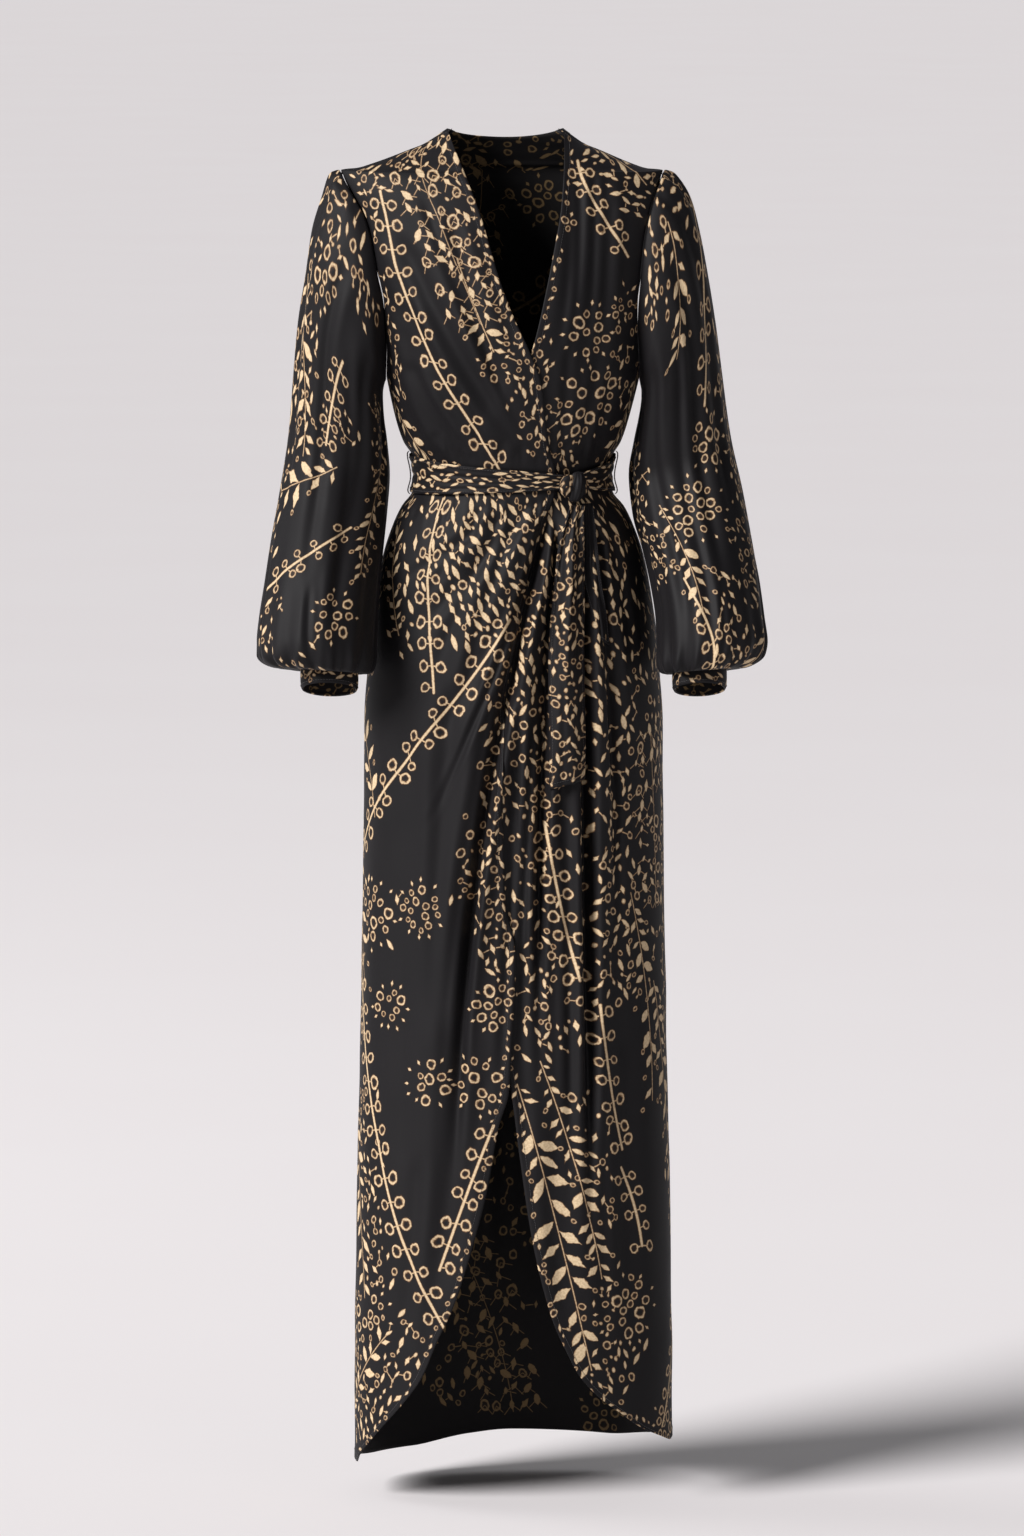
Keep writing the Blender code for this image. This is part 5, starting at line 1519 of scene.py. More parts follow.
def seam_groove(distance: Grid, deep: float = 0.0009, wide: float = 0.0035) -> Grid:
    """How far a seam draws the cloth in, by the distance to it."""
    return -deep * (1 - ease(0.0, wide, distance)) ** 1.5


def with_allowance(points: Grid, flat: Grid, normal: Grid, last: bool) -> tuple[Grid, Grid, Grid]:
    """Adds seam allowances, turned in behind a panel's first and last columns.

    Args:
        points: The panel's grid of points.
        flat: Its places on the cut.
        normal: The ways outward.
        last: Whether the last column is a seam too.

    Returns:
        The three grids with their added columns.
    """
    deep, wide = 0.0022, 0.004
    for at, beside, way in ((0, 1, 1), (-1, -2, -1))[:1 + last]:
        aside = unit(points[:, [at]] - points[:, [beside]]) * wide
        strips = (points[:, [at]] + aside - normal[:, [at]] * deep,
                  flat[:, [at]] * 2 - flat[:, [beside]], normal[:, [at]])
        points, flat, normal = (np.concatenate([strip, grid][::way], axis=1)
                                for strip, grid in zip(strips, (points, flat, normal)))
    return points, flat, normal


def stitch_line(points: Grid, normal: Grid, distance: float) -> Grid:
    """A line on the cloth's face, this far in from the last column of its grid."""
    raised = points + normal * (THREAD_RISE / 2)
    line = np.empty((len(raised), 3))
    for i, row in enumerate(raised):
        back = row[::-1]
        run = np.concatenate([[0], np.cumsum(np.linalg.norm(np.diff(back, axis=0), axis=1))])
        at = min(distance, run[-1] * 0.5)
        line[i] = [np.interp(at, run, back[:, k]) for k in range(3)]
    return line


@dataclass(frozen=True)
class Relief:
    """A panel's folds, with its rise onto the layer below or its dip under the one above."""

    folds: Sequence[Fold]
    fine: Sequence[Fold]
    lies_on: Sequence[EdgePoint] = ()
    lies_under: Sequence[EdgePoint] = ()

    def at(self, x: Grid, z: Grid) -> Grid:
        """How far out the cloth lies at these places."""
        out = relief_on(self.folds, self.fine, x, z)
        if self.lies_on:
            out = out + np.where(z < WRAP_TOP_Z, over_lift(self.lies_on, x, z), 0)
        if self.lies_under:
            out = out + np.where(z < WRAP_TOP_Z, under_tuck(self.lies_under, x, z), 0)
        return out


@dataclass
class Panel:
    """A panel of the bodice or skirt: a grid of heights and turns on the dress's form."""

    node: str
    levels: Grid
    z: Grid
    turn: Grid
    relief: Relief
    full: Grid  # how much wider the cut is than the cloth hangs, by row
    middle: float = 0.0  # the turn that the cut's width is measured from
    free_edge: bool = True  # the last column, else a seam
    hem_row: int | None = None
    hem_deep: float = 0.010
    edge_stitch: float = 0.0065
    hem_stitch: float = 0.0090

    def build(self, cloth: Cloth) -> Piece:
        """Makes the panel's shell."""
        base, normal = Form.at(self.z, self.turn), Form.normal(self.z, self.turn)
        arc = Form.arc(self.levels[:, None], self.turn, self.middle)
        from_first, from_last = np.abs(arc - arc[:, :1]), np.abs(arc - arc[:, -1:])
        out = self.relief.at(base[..., 0], self.z)
        if self.free_edge:
            out = out + turned_hem(from_last) + seam_groove(from_first)
        else:
            out = out + seam_groove(np.minimum(from_first, from_last))
        if self.hem_row is not None:
            out = out + turned_hem(np.abs(self.z - self.z[self.hem_row]), self.hem_deep)
        self.points, self.normal = base + normal * out[..., None], normal
        flat = np.stack([arc * self.full[:, None], self.z], axis=-1)
        points, flat, normal = with_allowance(self.points, flat, normal, not self.free_edge)
        printed = print_of(self.node)
        if self.free_edge:
            edge = flat[::4, -1]
            printed.border(edge[::-1] if self.turn[0, 0] < 0 else edge)
        return Shell(f"{self.node}_cloth", points, flat, normal, printed, cloth).build()

    def stitch_lines(self) -> list[Grid]:
        """The stitches along the free edge and along the hem, where it has them."""
        lines = []
        if self.free_edge:
            lines.append(stitch_line(self.points, self.normal, self.edge_stitch))
        if self.hem_row is not None:
            way = 1 if self.hem_row else -1
            grids = (grid[::way].transpose(1, 0, 2) for grid in (self.points, self.normal))
            lines.append(stitch_line(*grids, self.hem_stitch))
        return lines


@dataclass
class PanelSet:
    """Two fronts that cross and a back: what the bodice and the skirt share."""

    cuts: Sequence[Cut] = ()
    edge_spread: float = 0.94  # below 1, the columns stand closer at a front's free edge
    panels: list[Panel] = field(default_factory=list)
    pieces: dict[str, Piece] = field(default_factory=dict)

    def front(self, node: str, levels: Grid, side_turns: Grid, edge_turns: Grid, columns: int,
              **rest: object) -> Panel:
        """A front, from its side seam to its free edge.

        Args:
            node: Its node.
            levels: Its rows' heights.
            side_turns: Where each row starts, at the side seam.
            edge_turns: Where each row ends.
            columns: How many cells a row has.
            rest: The panel's other values.

        Returns:
            The panel.
        """
        share = np.linspace(0, 1, columns + 1) ** self.edge_spread
        turn = side_turns[:, None] + (edge_turns - side_turns)[:, None] * share
        z = np.broadcast_to(levels[:, None], turn.shape).copy()
        return Panel(node, levels, z, turn, **rest)

    def build_panels(self, cloth: Cloth) -> None:
        """Makes every panel's shell."""
        for panel in self.panels:
            self.pieces[panel.node] = panel.build(cloth)

    def stitch_lines(self) -> list[Grid]:
        """The stitches of all the panels."""
        return [line for panel in self.panels for line in panel.stitch_lines()]

    def declare(self) -> None:
        """Puts each panel in its node's place and logs its cloth."""
        for cut in self.cuts:
            cut.state(self.pieces[cut.node])


@dataclass
class Skirt(PanelSet):
    """Two fronts that cross over and curve away at the hem, and a back."""

    cuts: Sequence[Cut] = SKIRT_CUTS
    rows: int = 270
    right_columns: int = 114
    left_columns: int = 116
    back_columns: int = 132
    flat_quarter: float = 0.238

    def hem_share(self, z: Grid) -> Grid:
        """1 at the hem, fading to 0 where the rows are level."""
        return ease(HEM_LEVEL_Z, HEM_Z, z)

    def build(self, cloth: Cloth) -> None:
        """Lays out and makes the three panels."""
        levels = np.linspace(WAIST_Z - SEAM_GAP / 2, HEM_Z, self.rows)
        left_levels = levels + HEM_RISE * self.hem_share(levels)
        full = fullness(levels, self.flat_quarter, 1.55)
        right_edge = Form.front_turn(levels, edge_x(OVER_SKIRT_EDGE, levels))
        left_edge = Form.front_turn(left_levels, edge_x(UNDER_SKIRT_EDGE, left_levels))
        sides = np.full_like(levels, QUARTER)
        over = Relief(SKIRT_FRONT, SKIRT_FRONT_FINE, lies_on=UNDER_SKIRT_EDGE)
        under = Relief(SKIRT_FRONT, SKIRT_FRONT_FINE, lies_under=OVER_SKIRT_EDGE)
        right = self.front("skirt_front_right", levels, -sides, right_edge, self.right_columns,
                           relief=over, full=full, hem_row=-1)
        left = self.front("skirt_front_left", left_levels, sides, left_edge, self.left_columns,
                          relief=under, full=full, hem_row=-1)
        share = np.linspace(0, 1, self.back_columns + 1)
        turn = np.broadcast_to(QUARTER + 2 * QUARTER * share, (self.rows, len(share))).copy()
        z = np.broadcast_to(levels[:, None], turn.shape).copy()
        hem = smooth_curve(column(BACK_HEM, "degrees"), column(BACK_HEM, "z"), np.degrees(turn))
        z = z + (hem - HEM_Z) * self.hem_share(z)
        back = Panel("skirt_back", levels, z, turn, Relief(SKIRT_BACK, SKIRT_BACK_FINE), full,
                     math.pi, free_edge=False, hem_row=-1)
        self.panels = [right, left, back]
        self.build_panels(cloth)


@dataclass
class Bodice(PanelSet):
    """Two fronts that cross below the V of the neck, and a back."""

    cuts: Sequence[Cut] = BODICE_CUTS
    neck_rows: int = 23
    arm_rows: int = 62
    low_rows: int = 39
    front_columns: int = 84
    back_columns: int = 116
    flat_quarter: float = 0.205
    least_turn: float = 0.05  # each front's least width, as a turn

    def levels(self) -> Grid:
        """Rows from the neck to the waist, closer over the shoulder."""
        shoulder = np.linspace(0, 1, self.neck_rows)[:-1]
        over = smooth_curve([0, 0.45, 0.8, 1], [NECK_Z, 0.0125, 0.0018, 0.0], shoulder)
        round_arm = (1 - np.cos(np.linspace(0, math.pi, self.arm_rows))) / 2 * UNDERARM_Z
        low = np.linspace(UNDERARM_Z, WAIST_Z + SEAM_GAP / 2, self.low_rows)[1:]
        return np.concatenate([over, round_arm, low])

    def build(self, cloth: Cloth) -> None:
        """Lays out and makes the three panels."""
        levels = self.levels()
        full = fullness(levels, self.flat_quarter, 1.3)
        full = np.where(levels > UNDERARM_Z / 2, 1.0, full)
        side = Form.side_turn(levels, True)
        right_edge = Form.front_turn(levels, edge_x(OVER_NECK_EDGE, levels))
        left_edge = Form.front_turn(levels, edge_x(UNDER_NECK_EDGE, levels))
        over = Relief(BODICE_FRONT, BODICE_FRONT_FINE, lies_on=UNDER_NECK_EDGE)
        under = Relief(BODICE_FRONT, BODICE_FRONT_FINE, lies_under=OVER_NECK_EDGE)
        right = self.front("bodice_front_right", levels, -side,
                           np.maximum(right_edge, -side + self.least_turn), self.front_columns,
                           relief=over, full=full)
        left = self.front("bodice_front_left", levels, side,
                          np.minimum(left_edge, side - self.least_turn), self.front_columns,
                          relief=under, full=full)
        back_side = np.where(levels >= 0, side, Form.side_turn(levels, False))
        share = np.linspace(0, 1, self.back_columns + 1)
        turn = back_side[:, None] + (2 * math.pi - 2 * back_side)[:, None] * share
        z = np.broadcast_to(levels[:, None], turn.shape).copy()
        behind = np.clip(-np.cos(turn), 0, 1) ** 2
        z = z - BACK_NECK_DROP * behind * ease(BACK_NECK_FROM_Z, NECK_Z, z)
        back = Panel("bodice_back", levels, z, turn, Relief(BODICE_BACK, BODICE_BACK_FINE), full,
                     math.pi, free_edge=False, hem_row=0, hem_deep=0.006)
        self.panels = [right, left, back]
        self.build_panels(cloth)


class SleeveCrease(NamedTuple):
    """A soft crease down a sleeve, by its angle round the arm and ring numbers."""

    angle_top: float
    ring_top: float
    angle_low: float
    ring_low: float
    depth: float
    width: float


SLEEVE_CREASES = in_metres(SleeveCrease, [
    (24, 0.8, 36, 9, 3.4, 0.11), (60, 1.4, 70, 11, 4.2, 0.12), (96, 3.5, 100, 12.5, 3, 0.1),
    (128, 2, 116, 12, 4, 0.12), (158, 4, 146, 12.5, 2.6, 0.11), (-28, 1.5, -34, 12, 3.4, 0.11),
    (-66, 2, -60, 12.5, 4, 0.12), (-104, 4, -110, 12, 3.4, 0.115), (-146, 3, -136, 12, 3.6, 0.115),
    (8, 9, 14, 14, 2.2, 0.06), (82, 10, 88, 14, 2, 0.055), (-48, 10, -44, 14, 2, 0.055),
    (166, 2, 150, 7, 3, 0.08),
], ("angle_top", "ring_top", "angle_low", "ring_low", "width"))


@dataclass
class Sleeve:
    """A bishop sleeve, eased into the armhole and gathered to its cuff."""

    side: Side
    columns: int = 204
    rows: int = 150
    cuff_rows: int = 16
    cuff_columns: int = 200
    flat_width: float = 0.44
    cuff_width: float = 0.20
    cuff_wall: float = 0.0020
    fine_gathers: int = 31
    fine_head_gathers: int = 9
    fine_head_depth: float = 0.0010
    head_puff: float = 0.0030
    head_lift: float = 0.0018  # covers the bodice's raw edge at the seam
    head_turned_in: float = 0.0055
    underarm_lap: float = 0.0080  # the slack that falls before the bodice's side

    @property
    def word(self) -> str:
        """The side's name, for the piece."""
        return self.side.name.lower()

    def ring(self, values: Sequence[float], angle: Grid) -> Grid:
        """Points of one ring: 0 at its outer side, positive round its front."""
        outer_z, inner_z, outer_x, inner_x, middle_y, half_depth, tilt = values
        sign, lean = self.side.value, math.radians(tilt)
        outer = np.array([sign * outer_x, middle_y, outer_z])
        inner = np.array([sign * inner_x, middle_y, inner_z])
        ahead = half_depth * np.array([0, -math.cos(lean), math.sin(lean)])
        across = (outer - inner) / 2 * np.cos(angle)[:, None]
        return (outer + inner) / 2 + across + ahead * np.sin(angle)[:, None]

    def sizes(self, at: Grid) -> list[Grid]:
        """The ring table's columns at fractions of rings."""
        where = np.arange(len(SLEEVE))
        names = ("outer_z", "inner_z", f"{self.word}_outer", f"{self.word}_inner", "middle_y",
                 "half_depth", "tilt")
        return [smooth_curve(where, column(SLEEVE, name), at) for name in names]

    def armhole(self, angle: Grid) -> Grid:
        """The armhole's line on the body: 0 at the shoulder tip, positive forward."""
        angle = wrap_angle(angle)
        z = UNDERARM_Z / 2 * (1 - np.cos(angle))
        turn = np.where(angle >= 0, Form.armhole_turn(z, True), Form.armhole_turn(z, False))
        return Form.at(z, self.side.value * turn)

    def creases(self, angle: Grid, at: Grid) -> Grid:
        """Soft troughs with a roll at each side."""
        relief = np.zeros(np.broadcast(angle, at).shape)
        for k, crease in enumerate(SLEEVE_CREASES):
            shift = 9 * math.sin(1.7 * k + self.side.value)
            t = np.clip((at - crease.ring_top) / (crease.ring_low - crease.ring_top), 0, 1)
            line = np.radians(crease.angle_top + shift + (crease.angle_low - crease.angle_top) * t)
            across = wrap_angle(angle - line) / crease.width
            strength = ease(0, 0.2, t) * (1 - ease(0.75, 1, t))
            relief += crease.depth * strength * trough(across)
        return relief

    def head(self, turned: Grid, at: float) -> Grid:
        """The gathers, puff and lift of the sleeve's head, by the angle from its top."""
        near = np.clip(1 - np.abs(turned) / HEAD_SPREAD, 0, 1) ** 0.5
        across = turned / HEAD_SPREAD * math.pi
        wave = near * np.cos(across * HEAD_GATHERS) * ease(0, 1, at) * (1 - ease(1, 4, at))
        fine = np.cos(across * self.fine_head_gathers + 0.8)
        fine = near * fine * ease(0, 0.4, at) * (1 - ease(0.6, 2.6, at))
        puff = np.exp(-((turned / 0.8) ** 2)) * ease(0, 1.1, at) * (1 - ease(1.2, 4.5, at))
        lift = self.head_lift * (1 - ease(0.6, 3.0, at))
        return HEAD_GATHER_DEPTH * wave + self.fine_head_depth * fine + self.head_puff * puff + lift

    def underarm(self, turned: Grid, at: float) -> Grid:
        """The slack that falls in front of and behind the underarm."""
        front, behind, wide = 2.1, -2.2, 0.42
        lap = np.exp(-(((turned - front) / wide) ** 2)) + 0.7 * np.exp(-(((turned - behind) / wide) ** 2))
        return self.underarm_lap * lap * ease(0.2, 2.5, at) * (1 - ease(5.5, 8.0, at))

    def cuff_gathers(self, angle: Grid, at: float) -> Grid:
        """The waves that are gathered into the cuff, 1 deep, with finer ones near it."""
        sign = self.side.value
        wave = np.cos(angle * CUFF_GATHERS + 0.6 * np.sin(2 * angle + sign))
        uneven = 1 + 0.3 * np.sin(3 * angle + 0.7 * sign)
        fine = np.cos(angle * self.fine_gathers + 1.1 * np.sin(3 * angle))
        soft = 0.4 + 0.6 * ease(12.0, 14.5, at)
        return soft * wave * uneven + 0.35 * fine * ease(11.5, 14.5, at)

    def build(self, cloth: Cloth) -> Piece:
        """Makes the sleeve's shell."""
        last = len(SLEEVE) - 1
        at = smooth_curve([0, 0.08, 0.5, 0.8, 1.0], [0, 1.6, 8.0, 12.6, last],
                          np.linspace(0, 1, self.rows))
        angle = round_angles(self.columns)
        table = self.sizes(at)
        first = self.ring([row[0] for row in self.sizes(np.zeros(1))], angle)
        seat = self.armhole(angle)
        gather = smooth_curve(np.arange(len(SLEEVE)), column(SLEEVE, "gather"), at)
        points = np.empty((self.rows, self.columns, 3))
        outward = np.empty_like(points)
        turned = wrap_angle(angle)
        for i in range(self.rows):
            row = self.ring([part[i] for part in table], angle)
            row += (seat - first) * (1 - ease(0, 4.5, at[i]))
            ray = unit(row - row.mean(axis=0))
            out = self.head(turned, at[i]) + self.underarm(turned, at[i])
            out += gather[i] * self.cuff_gathers(angle, at[i])
            out += 0.8 * self.creases(angle, at[i])
            out += seam_groove(np.full_like(angle, 0.0035 * at[i] / 0.35))
            out += ripple(angle * 0.07, np.full_like(angle, at[i] * 0.035)) * ease(0, 1, at[i])
            points[i] = row + ray * out[:, None]
            outward[i] = ray
        run = np.linalg.norm(np.diff(points[:, ::8], axis=0), axis=-1).mean(axis=1)
        down = -np.concatenate([[0], np.cumsum(run)])
        half = self.columns // 2
        points[0] -= outward[0] * self.head_turned_in
        points, outward = np.roll(points, half, axis=1), np.roll(outward, half, axis=1)
        place = self.flat_width * np.linspace(-0.5, 0.5, self.columns + 1)
        node = f"sleeve_{self.word}"
        return Shell(f"{node}_cloth", points, cut_grid(place[None, :], down[:, None]), outward,
                     print_of(node), cloth, CREPE, True).build()

    def build_cuff(self, cloth: Cloth) -> Piece:
        """Makes the narrow doubled cuff along the forearm."""
        rows, columns = self.cuff_rows, self.cuff_columns
        angle = round_angles(columns)
        top = self.ring([row[0] for row in self.sizes(np.full(1, len(SLEEVE) - 1.0))], angle)
        down = np.array([0, -math.sin(CUFF_TILT), -math.cos(CUFF_TILT)])
        ray = unit(top - top.mean(axis=0))
        puckers, pucker_deep, edge_roll = 37, 0.0003, 0.0006
        points = np.empty((rows, columns, 3))
        for i, share in enumerate(np.linspace(0, 1, rows)):
            swell = CUFF_SWELL * math.sin(math.pi * share) ** 0.6
            pucker = np.cos(angle * puckers + 2 * np.sin(angle)) * (1 - ease(0.1, 0.5, share))
            edge = 1 - ease(0, 0.1, min(share, 1 - share))
            fall = SEAM_GAP + (CUFF_LENGTH + SEAM_GAP) * share
            out = swell + pucker_deep * pucker - edge_roll * edge
            points[i] = top + down * fall + ray * out[:, None]
        self.cuff_points = points + ray * THREAD_RISE
        place = self.cuff_width * np.linspace(-0.5, 0.5, columns + 1)
        flat = cut_grid(place[None, :], np.linspace(0, -CUFF_LENGTH, rows)[:, None])
        node = f"cuff_{self.word}"
        return Shell(f"{node}_cloth", points, flat, np.broadcast_to(ray, points.shape),
                     print_of(node), cloth, self.cuff_wall, True).build()

    def stitch_lines(self) -> list[Grid]:
        """The stitches round the top and the mouth of the cuff."""
        return [np.concatenate([self.cuff_points[i], self.cuff_points[i][:1]]) for i in (2, -3)]


def from_knot(turn: Grid, knot_turn: float) -> Grid:
    """0 at the knot and 1 at the far side, where the belt has its full height."""
    away = wrap_angle(turn - knot_turn)
    reach = np.where(away > 0, BELT_FAN_LEFT, BELT_FAN_RIGHT)
    return np.clip(np.abs(away) / reach, 0, 1) ** BELT_FAN_POWER


def belt_outside(z: Grid, turn: Grid, out: Grid) -> tuple[Grid, Grid]:
    """Points level with the waist's widest line, this far out, and the way out."""
    waist = Form.at(np.full_like(z, WAIST_Z), turn)
    normal = Form.normal(np.full_like(z, WAIST_Z), turn, level=True)
    points = waist + normal * out[..., None]
    spread = Form.at(z, turn) - waist
    spread[..., 2] = 0
    points += np.maximum(np.sum(spread * normal, axis=-1), 0)[..., None] * normal
    points[..., 2] = z
    return points, normal


class BeltCrease(NamedTuple):
    """A long level crease in the belt: its place up it, drift, depth and width."""

    up: float
    drift: float
    depth: float
    width: float
    phase: float


BELT_CREASES = [
    BeltCrease(0.62, 0.10, 0.0012, 0.13, 0.4),
    BeltCrease(0.22, 0.14, 0.0014, 0.12, 1.9),
    BeltCrease(-0.16, 0.12, 0.0013, 0.13, 3.1),
    BeltCrease(-0.58, 0.10, 0.0012, 0.12, 4.6),
]


class Lobe(NamedTuple):
    """A pulled lobe of the knot: its run along the belt, its sizes and its creases."""

    start: float
    end: float
    rise: float
    half_height: float
    half_depth: float
    out: float
    creases: float


LOBES = in_metres(Lobe, [(-19, 3, 2, 11.8, 7.6, 10, 5), (0, 17.2, -1, 9.6, 6.6, 8.8, 4)], ("creases",))
KNOT_WALL = 0.0006


@dataclass
class Belt:
    """The sash round the waist, tied at the wearer's left front, with its ends."""

    rows: int = 26
    columns: int = 380
    tail_rows: int = 110
    tail_columns: int = 26
    knot_rows: int = 40
    knot_columns: int = 72
    knot_turn: float = field(init=False)
    tails: dict[str, tuple[Grid, Grid]] = field(default_factory=dict)
    pieces: dict[str, Piece] = field(default_factory=dict)

    def __post_init__(self) -> None:
        """Finds the knot's turn from its place across."""
        self.knot_turn = float(Form.front_turn(np.array([KNOT_Z]), np.array([KNOT_X]))[0])

    def clearance(self, turn: Grid) -> Grid:
        """How far out the belt runs: more where two fronts lie under it."""
        turn = wrap_angle(turn)
        over_both = ease(WRAP_FROM, WRAP_FULL, turn) * (1 - ease(WRAP_LEAVES, WRAP_TO, turn))
        return BELT_CLEAR + (BELT_CLEAR_WRAP - BELT_CLEAR) * over_both

    def build_band(self, cloth: Cloth) -> Piece:
        """Makes the band, drawn in at the knot, with long soft creases."""
        turn = self.knot_turn + np.linspace(0, 2 * math.pi, self.columns + 1)
        share = from_knot(turn, self.knot_turn)
        half = (BELT_KNOT_HEIGHT + (BELT_HEIGHT - BELT_KNOT_HEIGHT) * share) / 2
        middle = WAIST_Z + BELT_RISE * share
        up = np.linspace(1, -1, self.rows)[:, None]
        z = middle + half * up
        swell = 0.0010 * (1 - up**2) * share
        for crease in BELT_CREASES:
            line = crease.up + crease.drift * np.sin(2.3 * turn + crease.phase)
            line = line + 0.05 * np.sin(7 * turn + crease.phase)
            across = (up - line) / crease.width
            strength = crease.depth * (0.6 + 0.4 * np.sin(1.7 * turn + 2 * crease.phase))
            swell = swell - strength * np.exp(-(across**2)) * (0.55 + 0.45 * share)
            swell = swell + 0.35 * strength * np.exp(-((across - 1.7) ** 2))
        edge = -0.0007 * ease(0.86, 1.0, np.abs(up))
        out = self.clearance(turn) + BELT_WALL + swell + edge + 0.0004
        points, normal = belt_outside(z, np.broadcast_to(turn, z.shape), out)
        arc = Form.arc(np.full((1, 1), WAIST_Z), turn[None, :], self.knot_turn + math.pi)[0]
        self.band_points, self.band_normal = points[:, :-1], normal[:, :-1]
        return Shell("belt_cloth", self.band_points, cut_grid(arc[None, :], 0.5 * BELT_HEIGHT * up),
                     self.band_normal, print_of("belt"), cloth, DOUBLED, True).build()

    def build_tail(self, node: str, table: Sequence[TailRow], slant: float,
                   cloth: Cloth) -> Piece:
        """Makes a free end hanging on the front.

        Args:
            node: Its node.
            table: Its levels.
            slant: How much longer its cut end is on one side.
            cloth: The finishes of its face and back.

        Returns:
            The piece.
        """
        rows, columns = self.tail_rows, self.tail_columns
        share = np.linspace(-1, 1, columns + 1)
        heights = column(table, "z")[::-1]
        z_line = np.linspace(heights[-1], heights[0], rows)
        size = {name: smooth_curve(heights, column(table, name)[::-1], z_line)[:, None]
                for name in TailRow._fields[1:]}
        t = np.linspace(0, 1, rows)[:, None]
        z = z_line[:, None] + slant * share / 2 * ease(0.72, 1, t)
        x = size["x"] + size["half_width"] * share + 0.0010 * np.sin(9 * t) * ease(0.1, 0.5, t)
        turn = Form.front_turn(z, x)
        base, normal = Form.at(z, turn), Form.normal(z, turn, level=True)
        folds = size["crease"] * np.cos(share * 2 * math.pi + 0.5 * np.sin(5 * t))
        folds = folds + 0.35 * size["crease"] * np.cos(share * 5 * math.pi + 2 * t)
        folds = folds - 0.0006 * ease(0.9, 1.0, np.abs(share))
        below = relief_on(SKIRT_FRONT, [], x, z) * ease(-0.36, -0.42, z_line[:, None])
        lift = below + size["out"] + folds + BELT_WALL
        points = base + normal * lift[..., None]
        self.tails[node] = points, normal
        return Shell(f"{node}_cloth", points, cut_grid(BELT_HEIGHT / 2 * share[None, :], z), normal,
                     print_of(node), cloth, DOUBLED).build()

    def build_knot(self, cloth: Cloth) -> Piece:
        """Makes the knot: a pulled lobe at each side and the wrap between them."""
        place, out = belt_outside(np.array([KNOT_Z]), np.array([self.knot_turn]), np.array([KNOT_SEAT]))
        place, out, up = place[0], out[0], np.array([0.0, 0.0, 1.0])
        along = np.cross(up, out)
        angle, t = round_angles(self.knot_columns), np.linspace(0, 1, self.knot_rows)[:, None]
        blunt, pulled = 0.42, 0.10
        full = np.sin(math.pi * t) ** blunt
        around = 0.02 * np.linspace(-1, 1, self.knot_columns + 1)[None, :]
        forms = []
        for k, lobe in enumerate(LOBES):
            pull = pulled * np.cos(lobe.creases * angle + 1.6 * np.sin(3 * t) + k) * full
            size = full * (1 + pull)
            middle = place + along * (lobe.start + (lobe.end - lobe.start) * t) + out * lobe.out
            middle = middle + up * lobe.rise * np.sin(math.pi * t)
            points = middle[:, None] + up * (lobe.half_height * size * np.sin(angle))[..., None]
            points = points + out * (lobe.half_depth * size * np.cos(angle))[..., None]
            forms.append(("knot_lobe", points, cut_grid(around, 0.02 * t)))
        height, flare = (t - 0.5) * 2, 0.16
        half_wide, half_deep, half_high = 0.0086, 0.0104, 0.0166
        aside, lean, stand = 0.0012, 0.0022, 0.0112
        wide = half_wide * (1 + flare * height**2) * full**0.8
        crease = 1 + 0.07 * np.cos(7 * angle + 1.2 * np.sin(4 * t)) + 0.05 * np.cos(11 * angle - 2 * t)
        middle = place + along * (aside + lean * height) + out * stand + up * half_high * height
        points = middle[:, None] + along * (wide * crease * np.sin(angle))[..., None]
        points = points + out * (half_deep * full * crease * np.cos(angle))[..., None]
        forms.append(("knot_wrap", points, cut_grid(around, 0.03 * t)))
        return join_pieces("belt_knot_cloth", [
            Shell(name, points, flat, points - points.mean(axis=(0, 1)), print_of(name), cloth,
                  KNOT_WALL, True).build() for name, points, flat in forms])

    def build(self, cloth: Cloth) -> None:
        """Makes the band, the knot and both ends."""
        self.pieces = {
            "belt": self.build_band(cloth),
            "belt_knot": self.build_knot(cloth),
            "belt_tail_long": self.build_tail("belt_tail_long", LONG_TAIL, TAIL_SLANT, cloth),
            "belt_tail_short": self.build_tail("belt_tail_short", SHORT_TAIL, -TAIL_SLANT, cloth),
        }

    def stitch_lines(self) -> list[Grid]:
        """The stitches along the band's edges and round both ends."""
        raised = self.band_points + self.band_normal * THREAD_RISE
        lines = [np.concatenate([raised[i], raised[i][:1]]) for i in (2, -3)]
        for points, normal in self.tails.values():
            raised = points + normal * THREAD_RISE
            lines.append(np.concatenate([raised[4:-3, 2], raised[-3, 2:-2], raised[4:-3, -3][::-1]]))
        return lines

    def declare(self) -> None:
        """Puts the band, the knot and both ends in their nodes' places and logs their cloth."""
        knot = self.pieces["belt_knot"]
        stand_for(knot, "belt_knot")
        BELT_CUT.state(self.pieces["belt"], [knot])
        for cut in TAIL_CUTS:
            cut.state(self.pieces[cut.node])


def join_pieces(name: str, parts: Sequence[Piece]) -> Piece:
    """Joins objects that share their materials into one named piece."""
    with bpy.context.temp_override(active_object=parts[0], selected_editable_objects=list(parts)):
        bpy.ops.object.join()
    parts[0].name = parts[0].data.name = name
    return parts[0]


